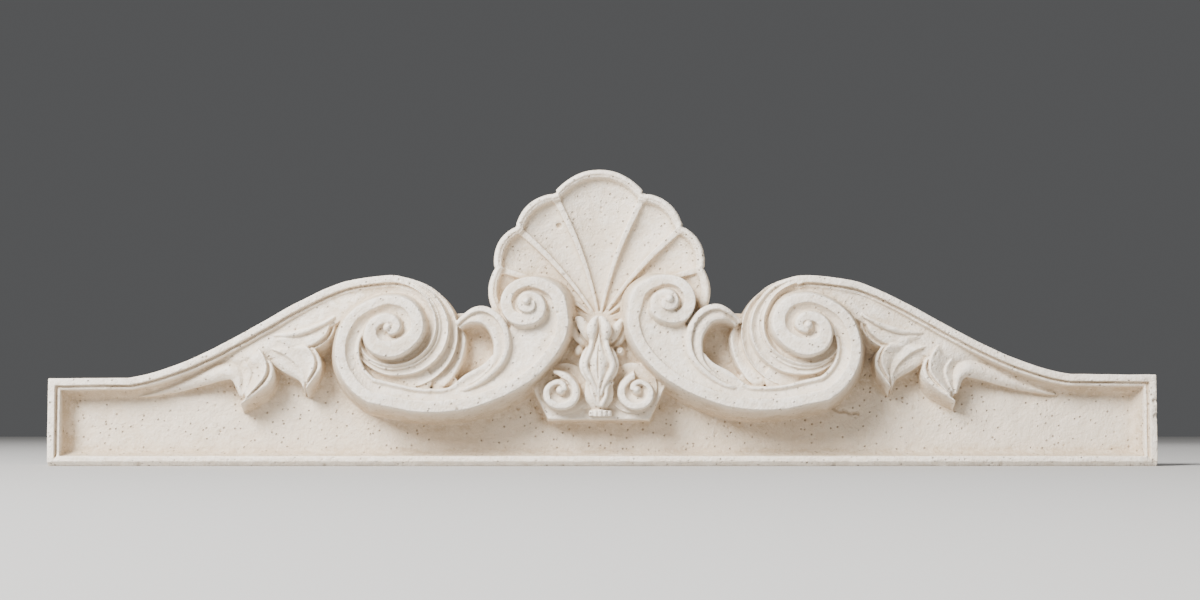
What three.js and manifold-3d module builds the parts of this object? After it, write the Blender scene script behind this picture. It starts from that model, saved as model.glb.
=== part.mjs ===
// Broken scroll pediment, carved from one block of pale limestone.
// Millimetres. X runs along the wall, Z is up and the carved face looks along -Y.
// The flat back lies in one plane, and every carved height is measured out from it.

import * as THREE from 'three';
import { mergeVertices } from 'three/addons/utils/BufferGeometryUtils.js';
import Module from 'manifold-3d';

const wasm = await Module();
wasm.setup();

// Overall sizes
const LENGTH = 1198;
const DEPTH = 105;
const LEFT_END_HEIGHT = 94.5;
const RIGHT_END_HEIGHT = 98.6;
const CREST_HEIGHT = 204.8;
const LEFT_NECK_START = 512;
const RIGHT_NECK_START = 507;
const CREST_X = 227.3;
const NECK_END = 212;

// The sunk panel and the moulded frame around it
const PANEL_THICKNESS = 30;
const FRAME_FRONT = 58;
const NECK_SWELL = 22;
const NECK_BED_RISE = 50;
const NECK_BED_START = 0.45;
const NECK_BED_PACE = 2.2;
const FASCIA = 7.5;
const FILLET_STEP = 4;
const FILLET_WIDTH = 4.3;
const END_COVE_WIDTH = 14.5;
const TOP_COVE_WIDTH = 14;
const NECK_COVE_WIDTH = 21;
const COVE_SHARES = [0.28, 0.62, 1];
const COVE_FALLS = [0.55, 0.88];
const SILL_CHAMFER = 5.2;
const SILL_CHAMFER_FALL = 5.5;
const SILL_FLAT_WIDTH = 4.9;
const SILL_SLOPE_WIDTH = 8.8;
const MITRE_LIFT = 4;
const CREST_BED_INSET = 30;
const CREST_BED_DROP = 40;
const SHELL_BED = [[-100, 168], [88, 168]];
const WALL_DRAFT = 0.22;

// How far the right half of the carving differs from a true mirror of the left
const RIGHT_SHIFT = -9;
const RIGHT_RAISE = 2.5;
const RIGHT_CREST_SHIFT = -4;
const RIGHT_CONCH_SHIFT = -6;
const CENTRE_X = -3.8;

// The large volute, its band and the small volute at the band's other end
const BIG_CENTRE = [-227.7, 147.8];
const BIG_RADII = [6.6, 9.2, 12.7, 13.5, 13.7, 16.4, 23.2, 30, 31.5, 32.2, 37.1, 36.9, 33.2, 36.5, 51.1,
  71, 86];
const BIG_START = 270;
const BIG_FIRST_TURN = 8.4;
const BIG_OPENS = 700;
const BIG_OPEN_SWEEP = 200;
const BIG_RELEASED = 850;
const BIG_RELEASE_SWEEP = 110;
const BIG_LAST_WIDTH = 26;
const BIG_EYE = 6;
const BIG_BORDERS = [5, 7, 8, 12, 17, 13, 8, 11.5, 11.5];
const BIG_HEIGHTS = [102, 102, 102, 101, 100, 98, 97, 95, 92];
const RUN = [[-205, 59.2], [-183.5, 57.9], [-162.2, 58.9], [-137.7, 63.2], [-104.3, 75.8],
  [-74.7, 93], [-53.4, 114.3], [-40.4, 135.6], [-36, 155]];
const RUN_INNER = [[-207, 85], [-186.5, 82.6], [-164, 84.5], [-146, 98], [-128, 108], [-118, 118],
  [-108, 130], [-100, 145], [-92, 160]];
const RUN_HEIGHT = 90;
const SMALL_CENTRE = [-80.4, 176.1];
const SMALL_LAST_TURN = 7.4;
const SMALL_CLOSES = 20;
const SMALL_CLOSE_SWEEP = 90;
const SMALL_OVER_FIELD = 200;
const SMALL_OVER_SWEEP = 50;
const TURN_TUCK = 1.5;
const FOOT_SINK = 12;
const FOOT_SPREAD = 3;
const SMALL_RADII = [41.5, 30.5, 25.5, 26, 27.8, 28.2, 25.2, 23.3, 18, 11.6, 8.9, 8.1, 8.9, 10.9, 11.6,
  11.2, 7.6];
const SMALL_EYE = 6.2;
const SMALL_BORDERS = [14, 9, 10.8, 13, 10, 5, 5, 6, 5];
const SMALL_HEIGHTS = [90, 91, 93, 95, 97, 98, 99, 100, 100];
const EIGHTH = 45;
const BAND_FALL = 7;
const EYE_FRONT = DEPTH;

// The terraced shell of the large scroll, as polar stations around its own centre
const CONCH_CENTRE = [-225, 145.8];
const CONCH_STEP = 30;
const CONCH_START = 100;
const CONCH_END = -168;
const CONCH_VALLEY = [43, 42, 42.5, 40.5, 38, 35, 33, 33, 33, 31];
const CONCH_RIB_A = [52.4, 50.5, 49.4, 47.5, 44.2, 39.6, 37.5, 38, 38.5, 34];
const CONCH_FOOT_A = [54, 52.3, 51.8, 50.4, 47.3, 43, 41, 41, 40.5, 35.5];
const CONCH_RIB_C = [56.5, 55.6, 57.8, 60, 58.4, 53.6, 48.8, 46.5, 44, 37.5];
const CONCH_FOOT_C = [57.8, 56.9, 60, 62.6, 61.3, 56, 51, 48.5, 45.5, 39];
const CONCH_RIB_D = [59.3, 58.4, 63.4, 68.6, 70.3, 66, 58.5, 53, 49, 42];
const CONCH_HEIGHTS = {
  top: [78, 80, 80, 80, 80, 80],
  side: [79, 88, 81, 85, 73, 78],
  tail: [82, 87, 82, 84, 77, 79],
};
const RIM_E = [[-152, 149], [-148.6, 142], [-147.5, 132], [-150.5, 117], [-157.5, 101], [-168, 87],
  [-178, 82]];
const RIM_E_INNER = [[-166, 150], [-165, 141], [-164, 131], [-167, 119], [-173, 108], [-184, 98], [-194, 92]];
const RIM_E_HEIGHT = 66;
const SCROLL_FLOOR = { x: -210, z: 119, radius: 54, height: 66 };

// The curled leaf on the inner side of the scroll and its hollow
const CURL_CENTRE = [-129.8, 122.2];
const CURL_ANGLES = [140, 120, 90, 60, 30, 0, -30, -60, -90, -120];
const CURL_OUTER = [41.5, 43.8, 48.9, 43.9, 35.6, 30.3, 27.6, 28.1, 35, 49];
const CURL_GROOVE = [37.5, 38.9, 42.3, 36.2, 28.2, 23.8, 21.8, 22.7, 28.6, 44];
const CURL_INNER = [33.5, 34, 30.6, 21.9, 16.2, 13.8, 15, 18.4, 24.8, 39.9];
const CURL_HEIGHT = 91;
const CURL_START = 132;
const CURL_END = -118;
const HOLLOW_HEIGHT = 54;
const HOLLOW_RADIUS = 40;

// The shell between the scrolls
const SHELL_CENTRE = [-3.2, 155.5];
const SHELL_TOP_RADIUS = 165;
const SHELL_CUSPS = [2, 26.8, 48.6, 70.2, 109.8, 131.4, 153.2, 178];
const SHELL_CUSP_RADII = [0.665, 0.77, 0.833, 0.896, 0.896, 0.833, 0.77, 0.665];
const SHELL_BULGES = [0.034, 0.041, 0.041, 0.108, 0.041, 0.041, 0.034];
const SHELL_TWISTS = [26, 17, 10, 10.5, -10.5, -10, -17, -26];
const SHELL_FRONT = 66;
const SHELL_RIM = 9;
const SHELL_RIM_DROP = 7;
const SHELL_RIB_WIDTH = 7;
const SHELL_SCOOP = 6;
const SHELL_HEART = 48;

// The leaves on each swan neck: the two edges of every lobe
const LEAF_BODY = {
  upper: [[-437, 107.5], [-398.5, 126.5], [-350, 153], [-296, 180]],
  lower: [[-426.9, 84.3], [-385.9, 108], [-342.7, 125.3], [-293, 160]],
};
const LEAF_LOBES = [
  { left: [[-404.9, 93.9], [-398.5, 90.7], [-393.1, 85.8], [-389.8, 78.8], [-389.5, 70.5]],
    right: [[-367.5, 123.5], [-360.4, 101.4], [-366.8, 84.2], [-378.7, 74.5], [-387.9, 69.5]] },
  { left: [[-367.2, 123.6], [-357.5, 112.3], [-340.2, 99.9], [-325.4, 91.2], [-321.6, 85.5]],
    right: [[-317, 128.9], [-310.9, 114.3], [-310.7, 102.4], [-315.3, 91.6], [-319.7, 84.8]] },
  { left: [[-344.5, 145.7], [-326.2, 150], [-310, 154.3], [-294.4, 161.4]],
    right: [[-317, 128.9], [-304, 134.7], [-295.4, 148.2], [-292.2, 160]] },
];
const LEAF_FRONT = 64;
const LEAF_BEAD = 6.5;
const LEAF_BEAD_DROP = 6;

// The little plinth with its pair of volutes and the bud that stands between them
const PLINTH_FRONT = 58;
const PLINTH_BOTTOM = 50.7;
const PLINTH_TOP = 94;
const PLINTH_HALF_BOTTOM = 54.3;
const PLINTH_HALF_TOP = 78.2;
const PLINTH_DRAFT = 6;
const DISC_FRONT = 63;
const DISC_X = 36;
const DISC_Z = 84;
const DISC_RADIUS = 27;
const BED_PLACES = [62, 80, 120, 150, 172];
const BED_HALF_WIDTHS = [30, 40, 36, 26, 12];
const BED_FRONT = 62;
const BED_CROWN = 14;
const PAIR_X = 40.6;
const PAIR_Z = 81.5;
const PAIR_RADII = [25, 19.5, 17.2, 18.9, 20.3, 19.9, 19.9, 17.1, 12.4, 9.9, 7.6, 5.6];
const PAIR_START = 135;
const PAIR_LEFT_START = 112;
const PAIR_RIGHT_START = 82;
const PAIR_FRONT = 80;
const PAIR_FALL = 5;
const PAIR_EYE = 5.6;
const BUD_FRONT = 86;
const BUD_LEAN = 0.3;
const BUD_OUTLINE = [[160, 1.2], [153, 8.5], [145.5, 13.5], [138, 11], [131.5, 8.8], [121, 11.5],
  [111.3, 12.6], [99, 9.5], [88, 4], [82, 1.5]];
const BUD_FALLS = [10, 5, 3, 3, 3, 1, 0, 2, 7, 12];
const CALYX_OUTLINE = [[136, 7], [128, 13], [118, 18.5], [107, 20.5], [95, 17], [83, 12.5], [72, 10],
  [62, 8.5]];
const CALYX_FRONT = 75;
const SPRIG_FRONT = 70;
const SPRIG_BASE = 8;
const SPRIGS = [
  { left: [[-33.5, 153.8], [-32.4, 141], [-20.7, 130], [-11, 125]],
    right: [[-24, 156], [-19.6, 146.5], [-15.3, 136], [-11, 130]] },
  { left: [[17.4, 153.8], [12.9, 141], [7, 133], [2, 129]],
    right: [[24.3, 147.5], [22, 139], [15, 131.5], [6, 125]] },
];
const BALLS = [[-25.2, 124, 8.5], [18.5, 122.7, 8.5]];
const COLLAR_HALF = 11;
const COLLAR_RISE = 4.6;
const COLLAR_Z = 56.5;

const STONE = { color: 0xd9d0c1, roughness: 0.86, metalness: 0 };
const ROOT = 0;
const JOIN_TOLERANCE = 0.02;

// Small helpers
const spot = (x, z, h) => [x, DEPTH / 2 - h, z];
const mix = (a, b, t) => a + (b - a) * t;
const ease = (t) => THREE.MathUtils.smoothstep(t, 0, 1);
const spline = (points) => new THREE.SplineCurve(points.map(([x, z]) => new THREE.Vector2(x, z)));

// A list of values read at a fractional index
function reading(values, at) {
  const low = Math.min(Math.max(Math.floor(at), 0), values.length - 2);
  const t = Math.min(Math.max(at - low, 0), 1);
  return mix(values[low], values[low + 1], t);
}

// A list of radii read smoothly at a fractional index
function smoothReading(values, at) {
  const last = values.length - 1;
  const low = Math.min(Math.max(Math.floor(at), 0), last - 1);
  const pick = (i) => values[Math.min(Math.max(i, 0), last)];
  return THREE.MathUtils.clamp(
    catmull(pick(low - 1), pick(low), pick(low + 1), pick(low + 2), at - low),
    0.5,
    Infinity,
  );
}

function catmull(a, b, c, d, t) {
  const slopeB = (c - a) / 2;
  const slopeC = (d - b) / 2;
  const t2 = t * t;
  const t3 = t2 * t;
  return (2 * t3 - 3 * t2 + 1) * b + (t3 - 2 * t2 + t) * slopeB + (3 * t2 - 2 * t3) * c + (t3 - t2) * slopeC;
}

// A closed body through rows of [x, z, h] points, each row closed through the floor height
function loft(rows, floor = ROOT) {
  const rings = rows.map((row) => {
    const [firstX, firstZ] = row[0];
    const [lastX, lastZ] = row[row.length - 1];
    return [...row, [lastX, lastZ, floor], [firstX, firstZ, floor]];
  });
  const size = rings[0].length;
  const points = rings.flat();
  const faces = [];
  for (let i = 0; i + 1 < rings.length; i += 1) {
    for (let j = 0; j < size; j += 1) {
      const next = (j + 1) % size;
      const a = i * size + j;
      const b = (i + 1) * size + j;
      const c = (i + 1) * size + next;
      const d = i * size + next;
      faces.push([a, b, c], [a, c, d]);
    }
  }
  const closeEnd = (ring, start, forward) => {
    const hub = points.length;
    points.push([0, 1, 2].map((k) => ring.reduce((sum, point) => sum + point[k], 0) / size));
    for (let j = 0; j < size; j += 1) {
      const next = (j + 1) % size;
      faces.push(forward ? [start + j, start + next, hub] : [start + next, start + j, hub]);
    }
  };
  closeEnd(rings[0], 0, true);
  closeEnd(rings[rings.length - 1], (rings.length - 1) * size, false);
  return bodyFrom(points.map(([x, z, h]) => spot(x, z, h)), faces);
}

function signedVolume(points, faces) {
  const a = new THREE.Vector3();
  const b = new THREE.Vector3();
  const c = new THREE.Vector3();
  return faces.reduce((sum, [i, j, k]) => {
    a.fromArray(points[i]);
    b.fromArray(points[j]);
    c.fromArray(points[k]);
    return sum + a.dot(b.cross(c)) / 6;
  }, 0);
}

// A manifold body from points and triangles, turned right side out
function bodyFrom(points, faces) {
  const outward = signedVolume(points, faces) > 0;
  const turned = outward ? faces : faces.map(([i, j, k]) => [i, k, j]);
  const mesh = new wasm.Mesh({
    numProp: 3,
    vertProperties: new Float32Array(points.flat()),
    triVerts: new Uint32Array(turned.flat()),
  });
  return new wasm.Manifold(mesh);
}

// A manifold body from a three.js geometry
function bodyOf(geometry) {
  geometry.deleteAttribute('normal');
  geometry.deleteAttribute('uv');
  const merged = mergeVertices(geometry, 1e-4);
  const mesh = new wasm.Mesh({
    numProp: 3,
    vertProperties: new Float32Array(merged.attributes.position.array),
    triVerts: new Uint32Array(merged.index.array),
  });
  return new wasm.Manifold(mesh);
}

// A slab with the given [x, z] outline between two heights
function slab(outline, low, high) {
  const shape = new THREE.Shape(outline.map(([x, z]) => new THREE.Vector2(x, z)));
  const depth = high - low;
  const geometry = new THREE.ExtrudeGeometry(shape, { depth, bevelEnabled: false, curveSegments: 8 });
  geometry.rotateX(Math.PI / 2);
  geometry.translate(0, DEPTH / 2 - low, 0);
  return bodyOf(geometry);
}

// A rounded boss: half widths in x and z, standing from its base height to its front height
function boss(x, z, halfX, halfZ, base, front, around = 10, rings = 6) {
  const geometry = new THREE.SphereGeometry(1, around, rings);
  geometry.scale(halfX, front - base, halfZ);
  geometry.translate(x, DEPTH / 2 - base, z);
  return bodyOf(geometry);
}

// The right-hand copy of rows drawn for the left
const mirrored = (rows, shift = RIGHT_SHIFT, raise = RIGHT_RAISE) => rows.map(
  (row) => row.map(([x, z, h]) => [shift - x, z + raise, h]),
);

function bothSides(rows, floor, shift, raise) {
  return [loft(rows, floor), loft(mirrored(rows, shift, raise), floor)];
}

const joined = (bodies) => bodies.reduce((whole, body) => whole.add(body));

// The frame: one moulding from the left crest, down the neck and round to the right crest
const NECK_SHARES = [0.0063, 0.055, 0.178, 0.344, 0.534, 0.728, 0.893, 0.96, 1];
const NECK_END_DROP = 2.6;
const NECK_PLACES = [0, 0.0907, 0.227, 0.3637, 0.5, 0.6363, 0.7726, 0.8634, 1];

function neckCurve(start, endHeight, crestShift) {
  const points = NECK_SHARES.map((share, i) => {
    const x = mix(start, CREST_X, NECK_PLACES[i]) + crestShift * NECK_PLACES[i];
    return [-x, mix(endHeight, CREST_HEIGHT, share)];
  });
  return spline([...points, [-NECK_END - crestShift, CREST_HEIGHT - NECK_END_DROP]]);
}

function neckRow(curve, t) {
  const point = curve.getPoint(t);
  const tangent = curve.getTangent(t);
  const inward = [tangent.y, -tangent.x];
  const swell = ease(t);
  const cove = mix(TOP_COVE_WIDTH, NECK_COVE_WIDTH, ease(t * 6));
  const front = FRAME_FRONT + NECK_SWELL * swell;
  const base = PANEL_THICKNESS + NECK_BED_RISE * ease((t - NECK_BED_START) * NECK_BED_PACE);
  const fillet = FASCIA + FILLET_WIDTH;
  const at = (inset, h) => [point.x + inward[0] * inset, point.y + inward[1] * inset, h];
  const dip = Math.max(front - FILLET_STEP, base);
  return [
    at(0, front), at(FASCIA, front), at(FASCIA + 1, dip - 1), at(fillet, dip),
    ...COVE_FALLS.map((fall, k) => at(fillet + cove * COVE_SHARES[k], mix(dip, base, fall))),
    at(fillet + cove, base - 1), at(fillet + cove + 1, ROOT + 2),
  ];
}

// The rows round an end: its top mitre, a plain row just above the sill, and the sill's mitre
function cornerRows(endHeight) {
  const start = FASCIA + FILLET_WIDTH;
  const flatTop = SILL_CHAMFER + SILL_FLAT_WIDTH;
  const side = [0, FASCIA, FASCIA + 1, start];
  const across = [...side, ...COVE_SHARES.map((share) => start + END_COVE_WIDTH * share)];
  const down = [...side, ...COVE_SHARES.map((share) => start + TOP_COVE_WIDTH * share)];
  const sill = [0, SILL_CHAMFER, SILL_CHAMFER + 1, flatTop,
    ...COVE_SHARES.map((share) => flatTop + SILL_SLOPE_WIDTH * share)];
  const coved = (top) => [...COVE_FALLS.map((fall) => mix(top, PANEL_THICKNESS, fall)), PANEL_THICKNESS - 1];
  const dip = FRAME_FRONT - FILLET_STEP;
  const sideHeights = [FRAME_FRONT, FRAME_FRONT, dip - 1, dip, ...coved(dip)];
  const sillHeights = [FRAME_FRONT - SILL_CHAMFER_FALL, FRAME_FRONT, FRAME_FRONT, FRAME_FRONT,
    ...coved(FRAME_FRONT)];
  const row = (levels, heights, rise) => {
    const points = across.map((inset, k) => [-LENGTH / 2 + inset, levels[k], heights[k]]);
    const [x, z] = points[points.length - 1];
    return [...points, [x + 1, z + rise, ROOT + 2]];
  };
  return [
    row(down.map((inset) => endHeight - inset), sideHeights, -1),
    row(sill.map((inset) => inset + MITRE_LIFT), sideHeights, 1),
    row(sill, sillHeights, 1),
  ];
}

function halfFrame(start, endHeight, crestShift) {
  const curve = neckCurve(start, endHeight, crestShift);
  const rows = steps(1, 0, 16).map((t) => neckRow(curve, t));
  return [...rows, ...cornerRows(endHeight)];
}

function frame() {
  const left = halfFrame(LEFT_NECK_START, LEFT_END_HEIGHT, 0);
  const right = mirrored(halfFrame(RIGHT_NECK_START, RIGHT_END_HEIGHT, RIGHT_CREST_SHIFT), 0, 0).reverse();
  return loft([...left, ...right], 0);
}

function panel() {
  const inset = FASCIA;
  const below = inset * 1.2;
  const leftCurve = neckCurve(LEFT_NECK_START, LEFT_END_HEIGHT, 0);
  const rightCurve = neckCurve(RIGHT_NECK_START, RIGHT_END_HEIGHT, RIGHT_CREST_SHIFT);
  const leftNeck = leftCurve.getPoints(10).map((p) => [p.x, p.y - below]);
  const rightNeck = rightCurve.getPoints(10).map((p) => [-p.x, p.y - below]).reverse();
  return slab([
    [-LENGTH / 2 + inset, inset], [-LENGTH / 2 + inset, LEFT_END_HEIGHT - inset], ...leftNeck,
    [-CREST_X + CREST_BED_INSET, CREST_HEIGHT - CREST_BED_DROP], ...SHELL_BED,
    [CREST_X - CREST_BED_INSET, CREST_HEIGHT - CREST_BED_DROP],
    ...rightNeck, [LENGTH / 2 - inset, RIGHT_END_HEIGHT - inset], [LENGTH / 2 - inset, inset],
  ], 0, PANEL_THICKNESS);
}

// One cross row of the scroll band, from the foot of its outer wall to its inner edge
function bandRow(outer, inner, border, height, footReach, footHeight, innerFall) {
  const dx = inner[0] - outer[0];
  const dz = inner[1] - outer[1];
  const width = Math.hypot(dx, dz);
  const along = (distance, h) => [outer[0] + dx * distance / width, outer[1] + dz * distance / width, h];
  const edge = Math.min(border, width * 0.8);
  const quirk = Math.min(1.4, width * 0.05);
  const rest = width - edge - quirk;
  return [
    along(-footReach, footHeight), along(0, height), along(edge, height),
    along(edge + quirk, height - 2.2), along(edge + quirk + rest * 0.45, height - innerFall * 0.8),
    along(width, height - innerFall),
  ];
}

// How far the foot of a drafted wall stands out from its top
function wallReach(height) {
  return (height - PANEL_THICKNESS) * WALL_DRAFT + FOOT_SPREAD;
}

function spiralPoint(centre, radius, angle) {
  const turn = THREE.MathUtils.degToRad(angle);
  return [centre[0] + radius * Math.cos(turn), centre[1] + radius * Math.sin(turn)];
}

// The large volute: its inner edge hides under the next turn in
function bigVoluteRow(angle) {
  const eighths = (angle - BIG_START) / EIGHTH;
  const quarters = eighths / 2;
  const radius = smoothReading(BIG_RADII, eighths);
  const firstTurn = eighths < BIG_FIRST_TURN;
  const tucked = firstTurn ? BIG_EYE * 0.4 : smoothReading(BIG_RADII, eighths - 8) - TURN_TUCK;
  const release = ease((angle - BIG_RELEASED) / BIG_RELEASE_SWEEP);
  const innerRadius = mix(tucked, radius - BIG_LAST_WIDTH, release);
  const height = reading(BIG_HEIGHTS, quarters);
  const open = ease((angle - BIG_OPENS) / BIG_OPEN_SWEEP);
  const footReach = mix(firstTurn ? 3 : 6, wallReach(height), open);
  const footHeight = mix(height - (firstTurn ? 12 : 26), PANEL_THICKNESS - FOOT_SINK, open);
  return bandRow(
    spiralPoint(BIG_CENTRE, radius, angle), spiralPoint(BIG_CENTRE, innerRadius, angle),
    reading(BIG_BORDERS, quarters), height, footReach, footHeight, BAND_FALL,
  );
}

function smallVoluteRow(angle) {
  const eighths = angle / EIGHTH;
  const quarters = eighths / 2;
  const radius = smoothReading(SMALL_RADII, eighths);
  const lastTurn = eighths > SMALL_LAST_TURN;
  const tucked = lastTurn ? SMALL_EYE * 0.4 : smoothReading(SMALL_RADII, eighths + 8) - TURN_TUCK;
  const height = reading(SMALL_HEIGHTS, quarters);
  const open = 1 - ease((angle - SMALL_CLOSES) / SMALL_CLOSE_SWEEP);
  const overField = ease((angle - SMALL_OVER_FIELD) / SMALL_OVER_SWEEP);
  const footReach = mix(lastTurn ? 2.5 : mix(2, 9, overField), wallReach(height), open);
  const wallHeight = lastTurn ? 10 : mix(50, 22, overField);
  const footHeight = mix(height - wallHeight, PANEL_THICKNESS - FOOT_SINK, open);
  return bandRow(
    spiralPoint(SMALL_CENTRE, radius, angle), spiralPoint(SMALL_CENTRE, tucked, angle),
    reading(SMALL_BORDERS, quarters), height, footReach, footHeight, BAND_FALL,
  );
}

function runRow(outerCurve, innerCurve, t) {
  const outer = outerCurve.getPoint(t);
  const inner = innerCurve.getPoint(t);
  const reach = (RUN_HEIGHT - PANEL_THICKNESS) * WALL_DRAFT + 3;
  return bandRow(
    [outer.x, outer.y], [inner.x, inner.y], 11.5, RUN_HEIGHT, reach, PANEL_THICKNESS - 12, BAND_FALL,
  );
}

function steps(from, to, count) {
  return Array.from({ length: count + 1 }, (_, i) => mix(from, to, i / count));
}

function scrollBand() {
  const outer = spline(RUN);
  const inner = spline(RUN_INNER);
  const stretches = [
    steps(270, 540, 9).map(bigVoluteRow),
    steps(540, 810, 12).map(bigVoluteRow),
    steps(810, 975, 8).map(bigVoluteRow),
    [bigVoluteRow(975), ...steps(0, 1, 12).map((t) => runRow(outer, inner, t)), smallVoluteRow(0)],
    steps(0, 270, 12).map(smallVoluteRow),
    steps(270, 495, 7).map(smallVoluteRow),
    steps(495, 720, 6).map(smallVoluteRow),
  ];
  const sides = [(rows) => rows, (rows) => mirrored(rows)];
  const bands = sides.map((side) => joined(stretches.map((rows) => loft(side(rows)))));
  const eyes = [[BIG_CENTRE, BIG_EYE], [SMALL_CENTRE, SMALL_EYE]].flatMap(([[x, z], eye]) => [
    ...voluteEye(x, z, eye, EYE_FRONT), ...voluteEye(RIGHT_SHIFT - x, z + RIGHT_RAISE, eye, EYE_FRONT),
  ]);
  return [...bands, ...eyes];
}

// The eye of a volute with the solid stone under it
function voluteEye(x, z, eye, front) {
  const core = new THREE.EllipseCurve(x, z, eye * 1.5, eye * 1.5).getPoints(8).slice(0, -1);
  return [slab(core.map((p) => [p.x, p.y]), ROOT, front - 22), boss(x, z, eye, eye, front - 14, front)];
}

// The terraces that step down and out behind the large volute
function conchRow(angle) {
  const at = (CONCH_START - angle) / CONCH_STEP;
  const radii = [CONCH_VALLEY, CONCH_RIB_A, CONCH_FOOT_A, CONCH_RIB_C, CONCH_FOOT_C, CONCH_RIB_D]
    .map((list) => smoothReading(list, at));
  const fromTop = ease((CONCH_START - 12 - angle) / 60);
  const toTail = ease((-angle - 30) / 60);
  const row = radii.map((radius, k) => {
    const side = mix(CONCH_HEIGHTS.top[k], CONCH_HEIGHTS.side[k], fromTop);
    return [...spiralPoint(CONCH_CENTRE, radius, angle), mix(side, CONCH_HEIGHTS.tail[k], toTail)];
  });
  return [[...spiralPoint(CONCH_CENTRE, 15, angle), row[0][2] - 6], ...row];
}

function conch() {
  const rows = steps(CONCH_START, CONCH_END, 19).map(conchRow);
  const outer = spline(RIM_E);
  const inner = spline(RIM_E_INNER);
  const rim = steps(0, 1, 7).map((t) => {
    const a = inner.getPoint(t);
    const b = outer.getPoint(t);
    const crown = RIM_E_HEIGHT + 4 * Math.sin(Math.PI * t);
    return [
      [a.x, a.y, crown - 10], [mix(a.x, b.x, 0.5), mix(a.y, b.y, 0.5), crown - 4], [b.x, b.y, crown],
      [b.x + 5, b.y - 1, HOLLOW_HEIGHT - 4],
    ];
  });
  const { x, z, radius, height } = SCROLL_FLOOR;
  const floors = [[x, z], [RIGHT_SHIFT - x, z + RIGHT_RAISE]].map(([centreX, centreZ]) => {
    const circle = new THREE.EllipseCurve(centreX, centreZ, radius, radius);
    return slab(circle.getPoints(16).slice(0, -1).map((p) => [p.x, p.y]), 0, height);
  });
  return [...bothSides(rows, 0, RIGHT_CONCH_SHIFT, 1), ...bothSides(rim, 0), ...floors];
}

// The curled leaf: a scoop falling from a double arris to a round hollow
function curlRow(angle) {
  const index = CURL_ANGLES.findIndex((station) => station <= angle);
  const upper = Math.max(index, 1);
  const at = upper - 1 + (CURL_ANGLES[upper - 1] - angle) / (CURL_ANGLES[upper - 1] - CURL_ANGLES[upper]);
  const outer = smoothReading(CURL_OUTER, at);
  const groove = smoothReading(CURL_GROOVE, at);
  const inner = smoothReading(CURL_INNER, at);
  const reach = mix(0.6, 6, ease((70 - angle) / 50));
  const sink = 12 * ease((angle - 95) / 45) + 3 * ease((-angle - 60) / 60);
  const at3 = (radius, h) => [...spiralPoint(CURL_CENTRE, radius, angle), h - sink];
  return [
    at3(outer + reach, mix(40, 76, ease((70 - angle) / 50))), at3(outer, CURL_HEIGHT - 2),
    at3(mix(outer, groove, 0.85), CURL_HEIGHT), at3(groove, CURL_HEIGHT - 3), at3(inner, CURL_HEIGHT - 5),
    at3(inner * 0.86, mix(CURL_HEIGHT - 5, HOLLOW_HEIGHT, 0.5)), at3(inner * 0.66, HOLLOW_HEIGHT + 5),
    at3(2, HOLLOW_HEIGHT),
  ];
}

function curl() {
  const rows = steps(CURL_START, CURL_END, 17).map(curlRow);
  const floor = new THREE.EllipseCurve(CURL_CENTRE[0] - 3, CURL_CENTRE[1] - 3, HOLLOW_RADIUS, HOLLOW_RADIUS);
  const outline = floor.getPoints(20).slice(0, -1).map((p) => [p.x, p.y]);
  const onRight = outline.map(([x, z]) => [RIGHT_SHIFT - x, z + RIGHT_RAISE]);
  return [...bothSides(rows, 0), slab(outline, 0, HOLLOW_HEIGHT), slab(onRight.reverse(), 0, HOLLOW_HEIGHT)];
}

// The shell: seven scooped lobes between flat ribs inside a rounded, scalloped rim
function shellRow(lobe, t, ribSide) {
  const cusp = mix(SHELL_CUSPS[lobe], SHELL_CUSPS[lobe + 1], t);
  const base = mix(SHELL_CUSP_RADII[lobe], SHELL_CUSP_RADII[lobe + 1], t);
  const radius = SHELL_TOP_RADIUS * (base + SHELL_BULGES[lobe] * Math.sin(Math.PI * t) ** 0.88);
  const twist = mix(SHELL_TWISTS[lobe], SHELL_TWISTS[lobe + 1], t);
  const scoop = SHELL_SCOOP * Math.sin(Math.PI * t) ** 0.7;
  const at = (distance, h) => {
    const share = distance / radius;
    const halfRib = SHELL_RIB_WIDTH * (0.25 + 0.4 * share);
    const sideways = THREE.MathUtils.radToDeg(ribSide * halfRib / Math.max(distance, 8));
    const turn = 180 - (cusp + twist * (1 - share) + sideways);
    return [...spiralPoint(SHELL_CENTRE, distance, turn), h];
  };
  const onRib = Math.abs(ribSide) < 1 ? 0 : 2.2;
  const field = (share) => mix(SHELL_HEART, SHELL_FRONT - SHELL_RIM_DROP, share);
  const inner = radius - SHELL_RIM;
  const fields = [0.98, 0.8, 0.55, 0.3, 0.06].map((share) => {
    const sunk = onRib + scoop * Math.min(1, share * 1.3) * (share > 0.9 ? 0.8 : 1);
    return at(inner * share, field(share) - sunk);
  });
  return [
    at(radius, SHELL_FRONT - 5), at(radius - 2, SHELL_FRONT - 0.8), at(radius - SHELL_RIM * 0.6, SHELL_FRONT),
    at(inner, SHELL_FRONT - 3), ...fields,
  ];
}

function shell() {
  const rows = [];
  SHELL_BULGES.forEach((_, lobe) => {
    rows.push(shellRow(lobe, 0, 0.75), shellRow(lobe, 0, 1.1));
    const between = lobe === 3 ? [0.12, 0.3, 0.5, 0.7, 0.88] : [0.22, 0.5, 0.78];
    rows.push(...between.map((t) => shellRow(lobe, t, 0)));
    rows.push(shellRow(lobe, 1, -1.1), shellRow(lobe, 1, -0.75));
  });
  return [loft(rows, 0)];
}

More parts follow.
